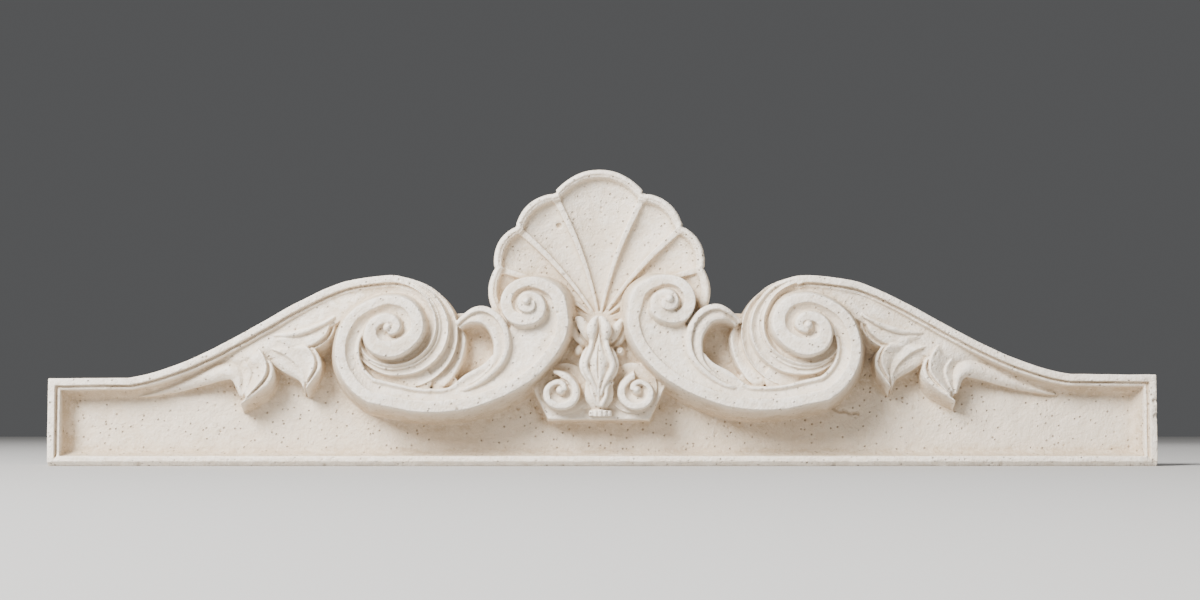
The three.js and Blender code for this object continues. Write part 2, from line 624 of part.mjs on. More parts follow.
// The acanthus leaf: a sheet that grows out of the neck's cove and ends in three curling lobes
function leafLobe({ left, right }) {
  const leftCurve = spline(left);
  const rightCurve = spline(right);
  const rows = steps(0, 1, 7).map((t) => {
    const a = leftCurve.getPoint(t);
    const b = rightCurve.getPoint(t);
    const dx = b.x - a.x;
    const dz = b.y - a.y;
    const width = Math.hypot(dx, dz);
    const reach = (distance) => [b.x + dx * distance / width, b.y + dz * distance / width];
    const inside = (share, h) => [a.x + dx * share, a.y + dz * share, h];
    const front = LEAF_FRONT + 3 * Math.sin(Math.PI * t * 0.8);
    return [
      [a.x - dx * 2.5 / width, a.y - dz * 2.5 / width, PANEL_THICKNESS - 6], inside(0, front - 5),
      inside(0.3, front - 9), inside(0.6, front - 3), inside(1, front),
      [...reach(1.2), front - LEAF_BEAD_DROP - 2], [...reach(LEAF_BEAD), front - LEAF_BEAD_DROP],
      [...reach(LEAF_BEAD + (front - PANEL_THICKNESS) * WALL_DRAFT + 1.5), PANEL_THICKNESS - 6],
    ];
  });
  return bothSides(rows);
}

function leafBody() {
  const upper = spline(LEAF_BODY.upper);
  const lower = spline(LEAF_BODY.lower);
  const rows = steps(0, 1, 8).map((t) => {
    const a = upper.getPoint(t);
    const b = lower.getPoint(t);
    const top = FRAME_FRONT - FILLET_STEP + 10 * t;
    const bottom = mix(40, LEAF_FRONT, ease(t * 2));
    return [
      [a.x, a.y, top], [mix(a.x, b.x, 0.35), mix(a.y, b.y, 0.35), mix(top, bottom, 0.4) - 3],
      [mix(a.x, b.x, 0.7), mix(a.y, b.y, 0.7), bottom - 2], [b.x, b.y, bottom],
    ];
  });
  return bothSides(rows);
}

// A block whose sides lean from a base outline to a front outline with as many corners
function tapered(base, front, low, high) {
  const size = front.length;
  const hub = (outline) => [0, 1].map((k) => outline.reduce((sum, point) => sum + point[k], 0) / size);
  const points = [
    ...base.map(([x, z]) => spot(x, z, low)), ...front.map(([x, z]) => spot(x, z, high)),
    spot(...hub(base), low), spot(...hub(front), high),
  ];
  const faces = [];
  for (let i = 0; i < size; i += 1) {
    const next = (i + 1) % size;
    faces.push([i, next, size + next], [i, size + next, size + i]);
    faces.push([next, i, 2 * size], [size + i, size + next, 2 * size + 1]);
  }
  return bodyFrom(points, faces);
}

// The plinth under the bud, with the two discs that back its volutes
function plinth() {
  const outline = (grow) => {
    const halfTop = PLINTH_HALF_TOP + grow;
    const halfBottom = PLINTH_HALF_BOTTOM + grow * 0.4;
    return [
      [CENTRE_X - halfTop, PLINTH_TOP], [CENTRE_X - halfBottom, PLINTH_BOTTOM - grow],
      [CENTRE_X + halfBottom, PLINTH_BOTTOM - grow], [CENTRE_X + halfTop, PLINTH_TOP],
    ];
  };
  const bodies = [tapered(outline(PLINTH_DRAFT), outline(0), PANEL_THICKNESS - 1, PLINTH_FRONT)];
  for (const side of [-1, 1]) {
    const disc = new THREE.EllipseCurve(CENTRE_X + side * DISC_X, DISC_Z, DISC_RADIUS, DISC_RADIUS);
    bodies.push(slab(disc.getPoints(20).slice(0, -1).map((p) => [p.x, p.y]), ROOT, DISC_FRONT));
  }
  return bodies;
}

// The ground behind the bud: a shallow mound that joins the plinth to the shell
function bed() {
  return loft(BED_PLACES.map((z, i) => [-1, -0.5, 0, 0.5, 1].map(
    (share) => [CENTRE_X + BED_HALF_WIDTHS[i] * share, z, BED_FRONT - BED_CROWN * share * share],
  )));
}

// One of the two small volutes on the plinth, rolled from its start angle in to the eye
function pairRow(angle) {
  const at = (PAIR_START - angle) / EIGHTH;
  const radius = smoothReading(PAIR_RADII, at);
  const lastTurn = at > 2.6;
  const tucked = lastTurn ? PAIR_EYE * 0.4 : smoothReading(PAIR_RADII, at + 8) - 1;
  const height = PAIR_FRONT + at * 0.5;
  const centre = [-PAIR_X, PAIR_Z];
  return bandRow(
    spiralPoint(centre, radius, angle), spiralPoint(centre, tucked, angle),
    radius * 0.45, height, lastTurn ? 1.5 : 5, height - (lastTurn ? 8 : 26), PAIR_FALL,
  );
}

function pair() {
  const about = (rows, side) => rows.map((row) => row.map(([x, z, h]) => [CENTRE_X - side * x, z, h]));
  const bodies = [];
  for (const [side, start] of [[-1, PAIR_LEFT_START], [1, PAIR_RIGHT_START]]) {
    const outerTurn = loft(about(steps(start, -100, 9).map(pairRow), side));
    bodies.push(outerTurn.add(loft(about(steps(-100, -360, 9).map(pairRow), side))));
    bodies.push(...voluteEye(CENTRE_X + side * PAIR_X, PAIR_Z, PAIR_EYE, PAIR_FRONT + 7));
  }
  return bodies;
}

// The bud: a folded top leaf running down into a pod with a vein along its middle
function bud() {
  const rows = BUD_OUTLINE.map(([z, half], i) => {
    const front = BUD_FRONT - BUD_FALLS[i];
    const at = (x, h) => [CENTRE_X + BUD_LEAN + x, z, h];
    return [
      at(-half - 3, PANEL_THICKNESS + 12), at(-half, front - 12), at(-half * 0.5, front), at(0, front - 3),
      at(half * 0.5, front), at(half, front - 12), at(half + 3, PANEL_THICKNESS + 12),
    ];
  });
  return loft(rows);
}

function calyx() {
  const rows = CALYX_OUTLINE.map(([z, half]) => {
    const at = (x, h) => [CENTRE_X + BUD_LEAN + x, z, h];
    return [
      at(-half - 4, PANEL_THICKNESS + 10), at(-half, CALYX_FRONT - 7), at(-half * 0.8, CALYX_FRONT),
      at(-half * 0.5, CALYX_FRONT - 5), at(0, CALYX_FRONT - 2), at(half * 0.5, CALYX_FRONT - 5),
      at(half * 0.8, CALYX_FRONT), at(half, CALYX_FRONT - 7), at(half + 4, PANEL_THICKNESS + 10),
    ];
  });
  return loft(rows);
}

function sprig({ left, right }) {
  const leftCurve = spline(left);
  const rightCurve = spline(right);
  return loft(steps(0, 1, 6).map((t) => {
    const a = leftCurve.getPoint(t);
    const b = rightCurve.getPoint(t);
    const front = SPRIG_FRONT + 5 * t;
    const between = (share, h) => [mix(a.x, b.x, share), mix(a.y, b.y, share), h];
    const base = PANEL_THICKNESS + SPRIG_BASE;
    return [
      between(-0.25, base), between(0, front - 4), between(0.5, front), between(1, front - 4),
      between(1.25, base),
    ];
  }));
}

function fleuron() {
  const base = PANEL_THICKNESS + SPRIG_BASE;
  const balls = BALLS.map(([x, z, radius]) => boss(x, z, radius, radius, base, SPRIG_FRONT));
  const collar = boss(CENTRE_X + 1.8, COLLAR_Z, COLLAR_HALF, COLLAR_RISE, PLINTH_FRONT - 10, CALYX_FRONT - 2);
  return [bud(), calyx(), ...SPRIGS.map(sprig), ...balls, collar];
}

// Everything joined into the one block. It is solid: bubbles sealed in where pieces meet are filled.
function carve() {
  const bodies = [
    frame(), panel(), ...conch(), ...scrollBand(), ...curl(), ...shell(), ...leafBody(),
    ...LEAF_LOBES.flatMap(leafLobe), ...plinth(), bed(), ...pair(), ...fleuron(),
  ];
  const blocks = joined(bodies).setTolerance(JOIN_TOLERANCE).decompose();
  const [block] = blocks.sort((a, b) => b.volume() - a.volume());
  return block;
}

function geometryOf(body) {
  const mesh = body.getMesh();
  const geometry = new THREE.BufferGeometry();
  geometry.setAttribute('position', new THREE.BufferAttribute(mesh.vertProperties, 3));
  geometry.setIndex(new THREE.BufferAttribute(mesh.triVerts, 1));
  geometry.computeVertexNormals();
  return geometry;
}

const pediment = new THREE.Group();
const stone = new THREE.Mesh(geometryOf(carve()), new THREE.MeshStandardMaterial(STONE));
stone.name = 'pediment';
pediment.add(stone);

export default pediment;
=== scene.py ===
"""Broken scroll pediment, dressed: one carved block of cream shelly limestone.

The carving is worked out in millimetres as (x, z, h): x along the wall, z up, and h out from
the flat back. Each form is a closed body on a numpy grid. The bodies overlap, one fine voxel
skin joins them, and the skin is worn, pitted and thinned into the finished stone.

PANEL is the height of the sunk ground. Forms that stand on it reach down to SUNK or ROOT, and
DRAFT is how far a carved wall leans out for each millimetre that it goes down.
"""

import logging
import math
from dataclasses import dataclass, field
from enum import Enum
from typing import Callable, Sequence

import bpy
import numpy as np
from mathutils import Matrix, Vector


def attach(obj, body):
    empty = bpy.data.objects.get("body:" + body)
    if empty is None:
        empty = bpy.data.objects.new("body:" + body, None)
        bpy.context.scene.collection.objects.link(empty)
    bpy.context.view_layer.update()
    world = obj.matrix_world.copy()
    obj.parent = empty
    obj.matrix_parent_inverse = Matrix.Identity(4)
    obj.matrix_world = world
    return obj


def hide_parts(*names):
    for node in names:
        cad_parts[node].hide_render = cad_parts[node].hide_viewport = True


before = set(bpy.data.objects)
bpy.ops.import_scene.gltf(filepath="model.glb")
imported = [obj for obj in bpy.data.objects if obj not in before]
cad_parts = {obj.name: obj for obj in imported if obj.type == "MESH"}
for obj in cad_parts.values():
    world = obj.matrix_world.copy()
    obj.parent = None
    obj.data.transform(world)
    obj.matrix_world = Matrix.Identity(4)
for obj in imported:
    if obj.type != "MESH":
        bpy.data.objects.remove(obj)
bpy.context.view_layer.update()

log = logging.getLogger("pediment")

DEPTH = 105.0
MM = 0.001
LENGTH = 1198.0
PANEL = 30.0
DRAFT = 0.22
SUNK = 8.0
ROOT = 20.0

Array = np.ndarray
Points = Sequence[Sequence[float]]


class Side(Enum):
    """Which half of the carving a form belongs to."""

    LEFT = -1
    RIGHT = 1


# Reading lists and curves


def along(values: Sequence, at: Array | float) -> Array:
    """Reads a list smoothly at fractional places: a Catmull-Rom curve through its entries.

    Args:
        values: Numbers, or points with any number of coordinates.
        at: Places in the list, from 0 to its last index.

    Returns:
        One number or point for each place.
    """
    table = np.asarray(values, dtype=float)
    flat = table.reshape(len(table), -1)
    last = len(flat) - 1
    place = np.clip(np.atleast_1d(np.asarray(at, dtype=float)), 0, last)
    low = np.minimum(np.floor(place).astype(int), last - 1)
    t = (place - low)[:, None]
    before, here, there, after = (flat[np.clip(low + k, 0, last)] for k in (-1, 0, 1, 2))
    slope_a = (there - before) / 2
    slope_b = (after - here) / 2
    out = (
        (2 * t**3 - 3 * t**2 + 1) * here + (t**3 - 2 * t**2 + t) * slope_a
        + (3 * t**2 - 2 * t**3) * there + (t**3 - t**2) * slope_b
    )
    return out.reshape((len(place),) + table.shape[1:])


def curve(points: Points, t: Array) -> Array:
    """Places along the smooth curve through the points, with t from 0 to 1."""
    return along(points, np.asarray(t) * (len(points) - 1))


def straight(values: Sequence[float], at: Array) -> Array:
    """Reads a list at fractional places with straight lines between its entries."""
    return np.interp(at, np.arange(len(values)), values)


def ease(t: Array | float) -> Array:
    """A smooth step from 0 to 1: 3 t squared minus 2 t cubed, held flat outside."""
    held = np.clip(t, 0.0, 1.0)
    return held * held * (3 - 2 * held)


def onset(value: Array, span: tuple[float, float]) -> Array:
    """A smooth step that starts at the span's first number and takes its second to reach 1."""
    return ease((value - span[0]) / span[1])


def mix(a: Array | float, b: Array | float, t: Array | float) -> Array:
    """The value a share t of the way from a to b."""
    return a + (b - a) * t


def column(x: Array | float, z: Array | float, h: Array | float) -> Array:
    """One column of a grid: points (x, z, h), with numbers spread over the rows."""
    x, z, h = np.broadcast_arrays(x, z, h)
    return np.stack([x, z, h], axis=-1).astype(float)


def polar(centre: Sequence[float], radius: Array, degrees: Array, h: Array | float) -> Array:
    """A column of points at a radius and an angle around a centre in the face's plane."""
    turn = np.radians(degrees)
    return column(centre[0] + radius * np.cos(turn), centre[1] + radius * np.sin(turn), h)


# Closed bodies


@dataclass
class Body:
    """A closed body in carving coordinates: points (x, z, h) and triangles."""

    points: Array
    triangles: Array

    def outward(self) -> "Body":
        """The same body with its triangles facing out, judged by its signed volume.

        Returns:
            This body, or its copy with every triangle turned round.
        """
        placed = to_space(self.points)
        a, b, c = (placed[self.triangles[:, k]] for k in range(3))
        if np.einsum("ij,ij->i", a, np.cross(b, c)).sum() < 0:
            return Body(self.points, self.triangles[:, ::-1])
        return self


def to_space(points: Array) -> Array:
    """Carving coordinates (x, z, h) in millimetres as Blender's x, y, z in metres."""
    return np.stack([points[:, 0], DEPTH / 2 - points[:, 2], points[:, 1]], axis=1) * MM


def ring_sides(count: int, size: int) -> Array:
    """Two triangles for each cell between neighbouring rings of points.

    Args:
        count: How many rings there are.
        size: How many points a ring has.

    Returns:
        Triangles by point number, ring after ring.
    """
    i, j = np.meshgrid(np.arange(count - 1), np.arange(size), indexing="ij")
    k = (j + 1) % size
    a, b, c, d = i * size + j, (i + 1) * size + j, (i + 1) * size + k, i * size + k
    halves = (np.stack([a, b, c], -1), np.stack([a, c, d], -1))
    return np.concatenate([half.reshape(-1, 3) for half in halves])


def loft(rows: Array, floor: float = 0.0) -> Body:
    """A closed body through rows of points: each row is closed through the floor height.

    Args:
        rows: Grid of shape (rows, points, 3).
        floor: The height of the row's underside.

    Returns:
        The body, with a fan of triangles over each end.
    """
    foot = rows[:, [-1, 0]].copy()
    foot[..., 2] = floor
    rings = np.concatenate([rows, foot], axis=1)
    count, size = rings.shape[:2]
    ring = np.arange(size)
    after = (ring + 1) % size
    total = count * size
    start = np.stack([ring, after, np.full(size, total)], -1)
    end = np.stack([after, ring, np.full(size, total + 1)], -1) + [total - size, total - size, 0]
    points = np.concatenate([rings.reshape(-1, 3), rings[[0, -1]].mean(axis=1)])
    return Body(points, np.concatenate([ring_sides(count, size), start, end])).outward()


def prism(base: Array, top: Array, low: float, high: float) -> Body:
    """A block between two star-shaped outlines, one at its foot and one at its front.

    Args:
        base: Outline (x, z) of the foot.
        top: Outline (x, z) of the front, with as many points.
        low: Height of the foot.
        high: Height of the front.

    Returns:
        The block, with a fan of triangles over each end.
    """
    centre = top.mean(axis=0)
    size = len(top)
    ring = np.arange(size)
    after = (ring + 1) % size
    faces = np.concatenate([
        np.stack([ring, after, after + size], -1), np.stack([ring, after + size, ring + size], -1),
        np.stack([after, ring, np.full(size, 2 * size)], -1),
        np.stack([ring + size, after + size, np.full(size, 2 * size + 1)], -1),
    ])
    points = np.concatenate([
        column(base[:, 0], base[:, 1], low), column(top[:, 0], top[:, 1], high),
        column(centre[0], centre[1], np.array([low, high])),
    ])
    return Body(points, faces).outward()


def disc(x: float, z: float, radius: float, high: float) -> Body:
    """A round prism from the back plane to its front height.

    Args:
        x: Place of its axis along the wall.
        z: Place of its axis up the wall.
        radius: Its radius.
        high: Height of its front.

    Returns:
        The closed disc.
    """
    turn = np.linspace(0, 2 * np.pi, 49)[:-1]
    outline = np.stack([x + radius * np.cos(turn), z + radius * np.sin(turn)], -1)
    return prism(outline, outline, 0.0, high)


def knob(x: float, z: float, half_x: float, half_z: float, base: float, front: float) -> Body:
    """A rounded boss: half an ellipsoid standing from its base height to its front height.

    Its rings lie at equal steps of lift: their radii follow the cosine and their heights the
    sine of the lift.

    Args:
        x: Place of the boss along the wall.
        z: Place of the boss up the wall.
        half_x: Half its width.
        half_z: Half its length up the wall.
        base: Height of its flat underside.
        front: Height of its top.

    Returns:
        The closed boss.
    """
    turn = np.linspace(0, 2 * np.pi, 33)[:-1]
    lift = np.linspace(0, np.pi / 2, 10)[:, None]
    rings = column(x + half_x * np.cos(turn) * np.cos(lift), z + half_z * np.sin(turn) * np.cos(lift),
                   base + (front - base) * np.sin(lift))
    count, size = rings.shape[:2]
    ring = np.arange(size)
    after = (ring + 1) % size
    cap = np.stack([after, ring, np.full(size, count * size)], -1)
    points = np.concatenate([rings.reshape(-1, 3), [[x, z, base]]])
    return Body(points, np.concatenate([ring_sides(count, size), cap])).outward()


def strand(path: Points, widths: Sequence[float], fronts: Sequence[float], base: float,
           crown: float = 3.0, count: int = 60) -> Body:
    """A rounded strip carried along a path in the face's plane.

    Across the path the height falls from the front by the crown times the square of the share
    of the half width, and the sides go straight down to the base.

    Args:
        path: Points (x, z) of the strip's middle line.
        widths: Full widths, spread evenly along the path.
        fronts: Front heights, spread evenly along the path.
        base: Height of the strip's underside.
        crown: How much lower the edges are than the middle.
        count: Rows along the path.

    Returns:
        The closed strip.
    """
    t = np.linspace(0, 1, count)
    spine = curve(path, t)
    way = np.gradient(spine, axis=0)
    way /= np.linalg.norm(way, axis=1)[:, None]
    half = curve(widths, t) / 2
    front = curve(fronts, t)
    across = np.linspace(-1, 1, 9)
    x = spine[:, :1] - way[:, 1:] * half[:, None] * across
    z = spine[:, 1:] + way[:, :1] * half[:, None] * across
    h = front[:, None] - crown * across**2 + 0 * x
    return loft(np.stack([x, z, h], -1), base)


def mirrored(rows: Array, shift: float, lift: float) -> Array:
    """The right-hand copy of rows drawn for the left half."""
    return np.stack([shift - rows[..., 0], rows[..., 1] + lift, rows[..., 2]], -1)


@dataclass(frozen=True)
class Strip:
    """A strand drawn outwards from a middle line: its path, widths and front heights."""

    path: Points
    widths: Sequence[float]
    fronts: Sequence[float]
    crown: float = 2.0
    count: int = 60

    def body(self, middle: float, side: int = 1) -> Body:
        """The strand on one side of the middle line, rooted in the ground."""
        path = [[middle + side * x, z] for x, z in self.path]
        return strand(path, self.widths, self.fronts, ROOT, self.crown, self.count)


@dataclass
class Mirror:
    """How far the right half of the carving differs from a true mirror of the left."""

    shift: float = -9.0
    lift: float = 2.5

    def both(self, rows: Array, floor: float = 0.0) -> list[Body]:
        """Lofts rows for the left half and their copy for the right."""
        return [loft(rows, floor), loft(mirrored(rows, self.shift, self.lift), floor)]

    def places(self, x: float, z: float) -> list[tuple[float, float]]:
        """A place on the left and its place on the right."""
        return [(x, z), (self.shift - x, z + self.lift)]


# The forms of the carving


@dataclass
class Frame:
    """The moulding round the sunk panel, and the panel itself."""

    front: float = 58.0
    swell: float = 22.0
    neck_rise: float = 50.0
    bed_start: float = 0.45
    bed_pace: float = 2.2
    cove_pace: float = 6.0
    fascia: float = 7.5
    step: float = 4.5
    fillet: float = 4.3
    end_cove: float = 14.5
    top_cove: float = 14.0
    neck_cove: float = 21.0
    lip: float = 3.0
    lip_start: float = 0.14
    lip_pace: float = 5.0
    lip_end: float = 0.45
    lip_end_pace: float = 3.0
    tail: tuple[float, ...] = (1.5, 4.0, 5.0)
    sill_chamfer: float = 5.2
    sill_fall: float = 5.5
    sill_flat: float = 4.9
    sill_slope: float = 8.8
    mitre_lift: float = 4.0
    crest_x: float = 227.3
    crest_z: float = 204.8
    neck_end: float = 212.0
    end_heights: tuple[float, float] = (94.5, 98.6)
    neck_starts: tuple[float, float] = (512.0, 507.0)
    right_crest_shift: float = -4.0
    shares: tuple[float, ...] = (0.0063, 0.055, 0.178, 0.344, 0.534, 0.728, 0.893, 0.96, 1)
    places: tuple[float, ...] = (0, 0.0907, 0.227, 0.3637, 0.5, 0.6363, 0.7726, 0.8634, 1)

    def neck(self, start: float, end_height: float, shift: float) -> Array:
        """The points of a neck's outer edge, drawn for the left half, from its low end up.

        The run goes evenly through the places, and the rise from end to crest goes through the shares.

        Args:
            start: Distance of the neck's low end from the middle.
            end_height: Height of the block's end above its bed.
            shift: How far the crest stands further out than the left one.

        Returns:
            Points (x, z) from the low end to just past the crest.
        """
        share = np.array(self.shares)
        place = np.array(self.places)
        x = -(mix(start, self.crest_x, place) + shift * place)
        z = mix(end_height, self.crest_z, share)
        return np.concatenate([np.stack([x, z], -1), [[-self.neck_end - shift, self.crest_z - 2.6]]])

    @staticmethod
    def cove_fall(share: Array) -> Array:
        """How much of a cove's depth is lost at a share of its width: half a quarter circle."""
        return 0.5 * np.sqrt(1 - (1 - share) ** 2) + 0.5 * (1 - (1 - share) ** 1.8)

    def edge_profile(self) -> Array:
        """The flat border, its sharp step and the fillet: insets, and drops below the front.

        Returns:
            A row of insets from the outer edge and a row of drops.
        """
        inner = self.fascia + self.fillet
        return np.array([
            (0, 0.7), (0.6, 0), (self.fascia - 0.2, 0), (self.fascia + 0.5, self.step + 2.2),
            (self.fascia + 1.7, self.step + 2.0), (self.fascia + 2.2, self.step), (inner, self.step),
            (inner + 0.4, self.step + 1.1),
        ]).T

    def neck_rows(self, points: Array) -> Array:
        """Cross rows of the neck's moulding, from the crest down to the low end.

        The cove's height goes from the fillet to the bed as cove_fall says, and a lip swells
        at its lower edge along the middle of the neck.

        Args:
            points: Points (x, z) of the outer edge, from the low end up.

        Returns:
            The grid of rows.
        """
        t = np.linspace(1, 0, 170)
        edge = curve(points, t)
        way = np.gradient(edge, axis=0)
        way /= np.linalg.norm(way, axis=1)[:, None]
        inward = np.stack([-way[:, 1], way[:, 0]], -1)
        cove = mix(self.top_cove, self.neck_cove, ease(t * self.cove_pace))
        front = self.front + self.swell * ease(t)
        start = self.fascia + self.fillet
        bed = PANEL + self.neck_rise * ease((t - self.bed_start) * self.bed_pace)
        bed = np.minimum(bed, front - self.step - 3.0) - 1
        low = front - self.step - 1.1

        def at(inset: Array | float, h: Array) -> Array:
            """A column of points at an inset from the outer edge."""
            inset = np.broadcast_to(inset, t.shape)
            return column(edge[:, 0] + inward[:, 0] * inset, edge[:, 1] + inward[:, 1] * inset, h)

        columns = [at(inset, front - drop) for inset, drop in zip(*self.edge_profile())]
        for share in np.linspace(0, 1, 9)[1:-1]:
            columns.append(at(start + cove * share, mix(low, bed, self.cove_fall(share))))
        swelling = ease((t - self.lip_start) * self.lip_pace)
        fading = ease((t - self.lip_end) * self.lip_end_pace)
        lip = self.lip * swelling * (1 - fading)
        first, second, third = self.tail
        columns += [at(start + cove, bed + lip), at(start + cove + first, bed + lip * 0.8),
                    at(start + cove + second, bed), at(start + cove + third, np.full(t.shape, SUNK))]
        return np.stack(columns, axis=1)

    def corner_rows(self, end_height: float) -> Array:
        """The rows round an end: its top mitre, a plain row above the sill, and the sill's mitre.

        Args:
            end_height: Height of the block's end above its bed.

        Returns:
            Three rows, from the top down.
        """
        shares = np.linspace(0, 1, 9)[1:]
        fall = self.cove_fall(shares)
        insets, drops = self.edge_profile()
        start = self.fascia + self.fillet
        tail = np.array(self.tail)
        foot = (PANEL - 2, PANEL - 2, SUNK)
        coved = mix(self.front - self.step - 1.1, PANEL - 1, fall)
        heights = np.array([*(self.front - drops), *coved, *foot])
        across = np.concatenate([insets, start + self.end_cove * shares, start + self.end_cove + tail])
        down = np.concatenate([insets, start + self.top_cove * shares, start + self.top_cove + tail])
        chamfer = self.sill_chamfer
        flat = chamfer + self.sill_flat
        sill = np.array([0, 0.4, chamfer, chamfer + 0.6, flat - 2, flat - 1, flat, flat + 0.4,
                         *(flat + self.sill_slope * shares), *(flat + self.sill_slope + tail)])
        bottom = self.front - self.sill_fall
        sloped = mix(self.front - 1.0, PANEL - 1, fall)
        sill_heights = np.array([bottom, bottom + 0.4, *np.full(5, self.front), self.front - 1.0,
                                 *sloped, *foot])
        x = -LENGTH / 2 + across
        return np.stack([column(x, end_height - down, heights),
                         column(x, sill + self.mitre_lift, heights),
                         column(x, sill, sill_heights)])

    def half(self, side: Side) -> Array:
        """All rows of one half, drawn for the left.

        Args:
            side: Which half's sizes to use.

        Returns:
            The grid of rows, from the crest to the sill.
        """
        k = 0 if side is Side.LEFT else 1
        shift = 0.0 if side is Side.LEFT else self.right_crest_shift
        rows = self.neck_rows(self.neck(self.neck_starts[k], self.end_heights[k], shift))
        return np.concatenate([rows, self.corner_rows(self.end_heights[k])])

    def bodies(self) -> list[Body]:
        """The moulding as one loft from crest to crest, and the panel behind it.

        Returns:
            Two closed bodies.
        """
        left = self.half(Side.LEFT)
        right = mirrored(self.half(Side.RIGHT), 0, 0)[::-1]
        return [loft(np.concatenate([left, right])), self.panel()]

    def panel(self) -> Body:
        """The sunk ground: rows across its height at each place along its length.

        Its top follows the necks a little inside their edges, and runs straight behind the scrolls.

        Returns:
            A flat block from the back plane to the sunk ground.
        """
        inset = self.fascia
        t = np.linspace(0, 1, 60)
        left = curve(self.neck(self.neck_starts[0], self.end_heights[0], 0), t) - [0, inset * 1.2]
        right = curve(self.neck(self.neck_starts[1], self.end_heights[1], self.right_crest_shift), t)
        right = right * [-1, 1] - [0, inset * 1.2]
        middle = [[-self.crest_x + 30, self.crest_z - 40], [-100, 168], [88, 168],
                  [self.crest_x - 30, self.crest_z - 40]]
        edge_x = LENGTH / 2 - inset
        top = np.concatenate([
            [[-edge_x, self.end_heights[0] - inset]], left, middle, right[::-1],
            [[edge_x, self.end_heights[1] - inset]],
        ])
        x = np.linspace(-edge_x, edge_x, 500)
        z = np.interp(x, top[:, 0], top[:, 1])
        rows = np.stack([column(x, inset, PANEL), column(x, z, PANEL)], axis=1)
        return loft(rows)


@dataclass
class BandCut:
    """The cross profile of the scroll band, from its outer wall to its inner edge."""

    fall: float = 5.5
    step: float = 2.8
    lip: float = 3.4
    lip_drop: float = 3.2
    dish: float = 1.4

    def rows(self, outer: Array, inner: Array, border: Array, height: Array, reach: Array,
             foot: Array, lipped: Array) -> Array:
        """Cross rows of the band.

        A flat border, a small step, a shallow hollow, and a lip that rises at the inner edge.

        Args:
            outer: Points (x, z) of the outer arris.
            inner: Points (x, z) of the inner edge.
            border: Width of the flat border.
            height: Height of the border.
            reach: How far the outer wall's foot stands out from the arris.
            foot: Height of the wall's foot.
            lipped: How far the inner lip has risen, from 0 to 1.

        Returns:
            The grid of rows.
        """
        gap = inner - outer
        width = np.linalg.norm(gap, axis=1)
        way = gap / width[:, None]
        edge = np.minimum(border, width * 0.8)
        quirk = np.minimum(1.0, width * 0.05)
        rest = width - edge - quirk
        lip = np.minimum(self.lip, rest * 0.3)

        def at(distance: Array | float, h: Array) -> Array:
            """A column at a distance in from the outer arris."""
            distance = np.broadcast_to(distance, width.shape)
            return column(outer[:, 0] + way[:, 0] * distance, outer[:, 1] + way[:, 1] * distance, h)

        low = height - self.fall
        raised = mix(low, height - self.lip_drop, lipped)
        columns = [at(-reach, foot), at(-0.2, height - 0.7), at(0.5, height),
                   at(edge, height), at(edge + quirk, height - self.step)]
        for share in (0.15, 0.35, 0.6, 0.82):
            hollow = mix(height - self.step, low - self.dish, np.sin(share * np.pi / 2) ** 0.8)
            columns.append(at(edge + quirk + (rest - lip) * share, hollow))
        columns += [at(width - lip, raised - self.dish * lipped), at(width - lip * 0.75, raised),
                    at(width, raised - 0.3), at(width + 0.8, raised - 20)]
        return np.stack(columns, axis=1)


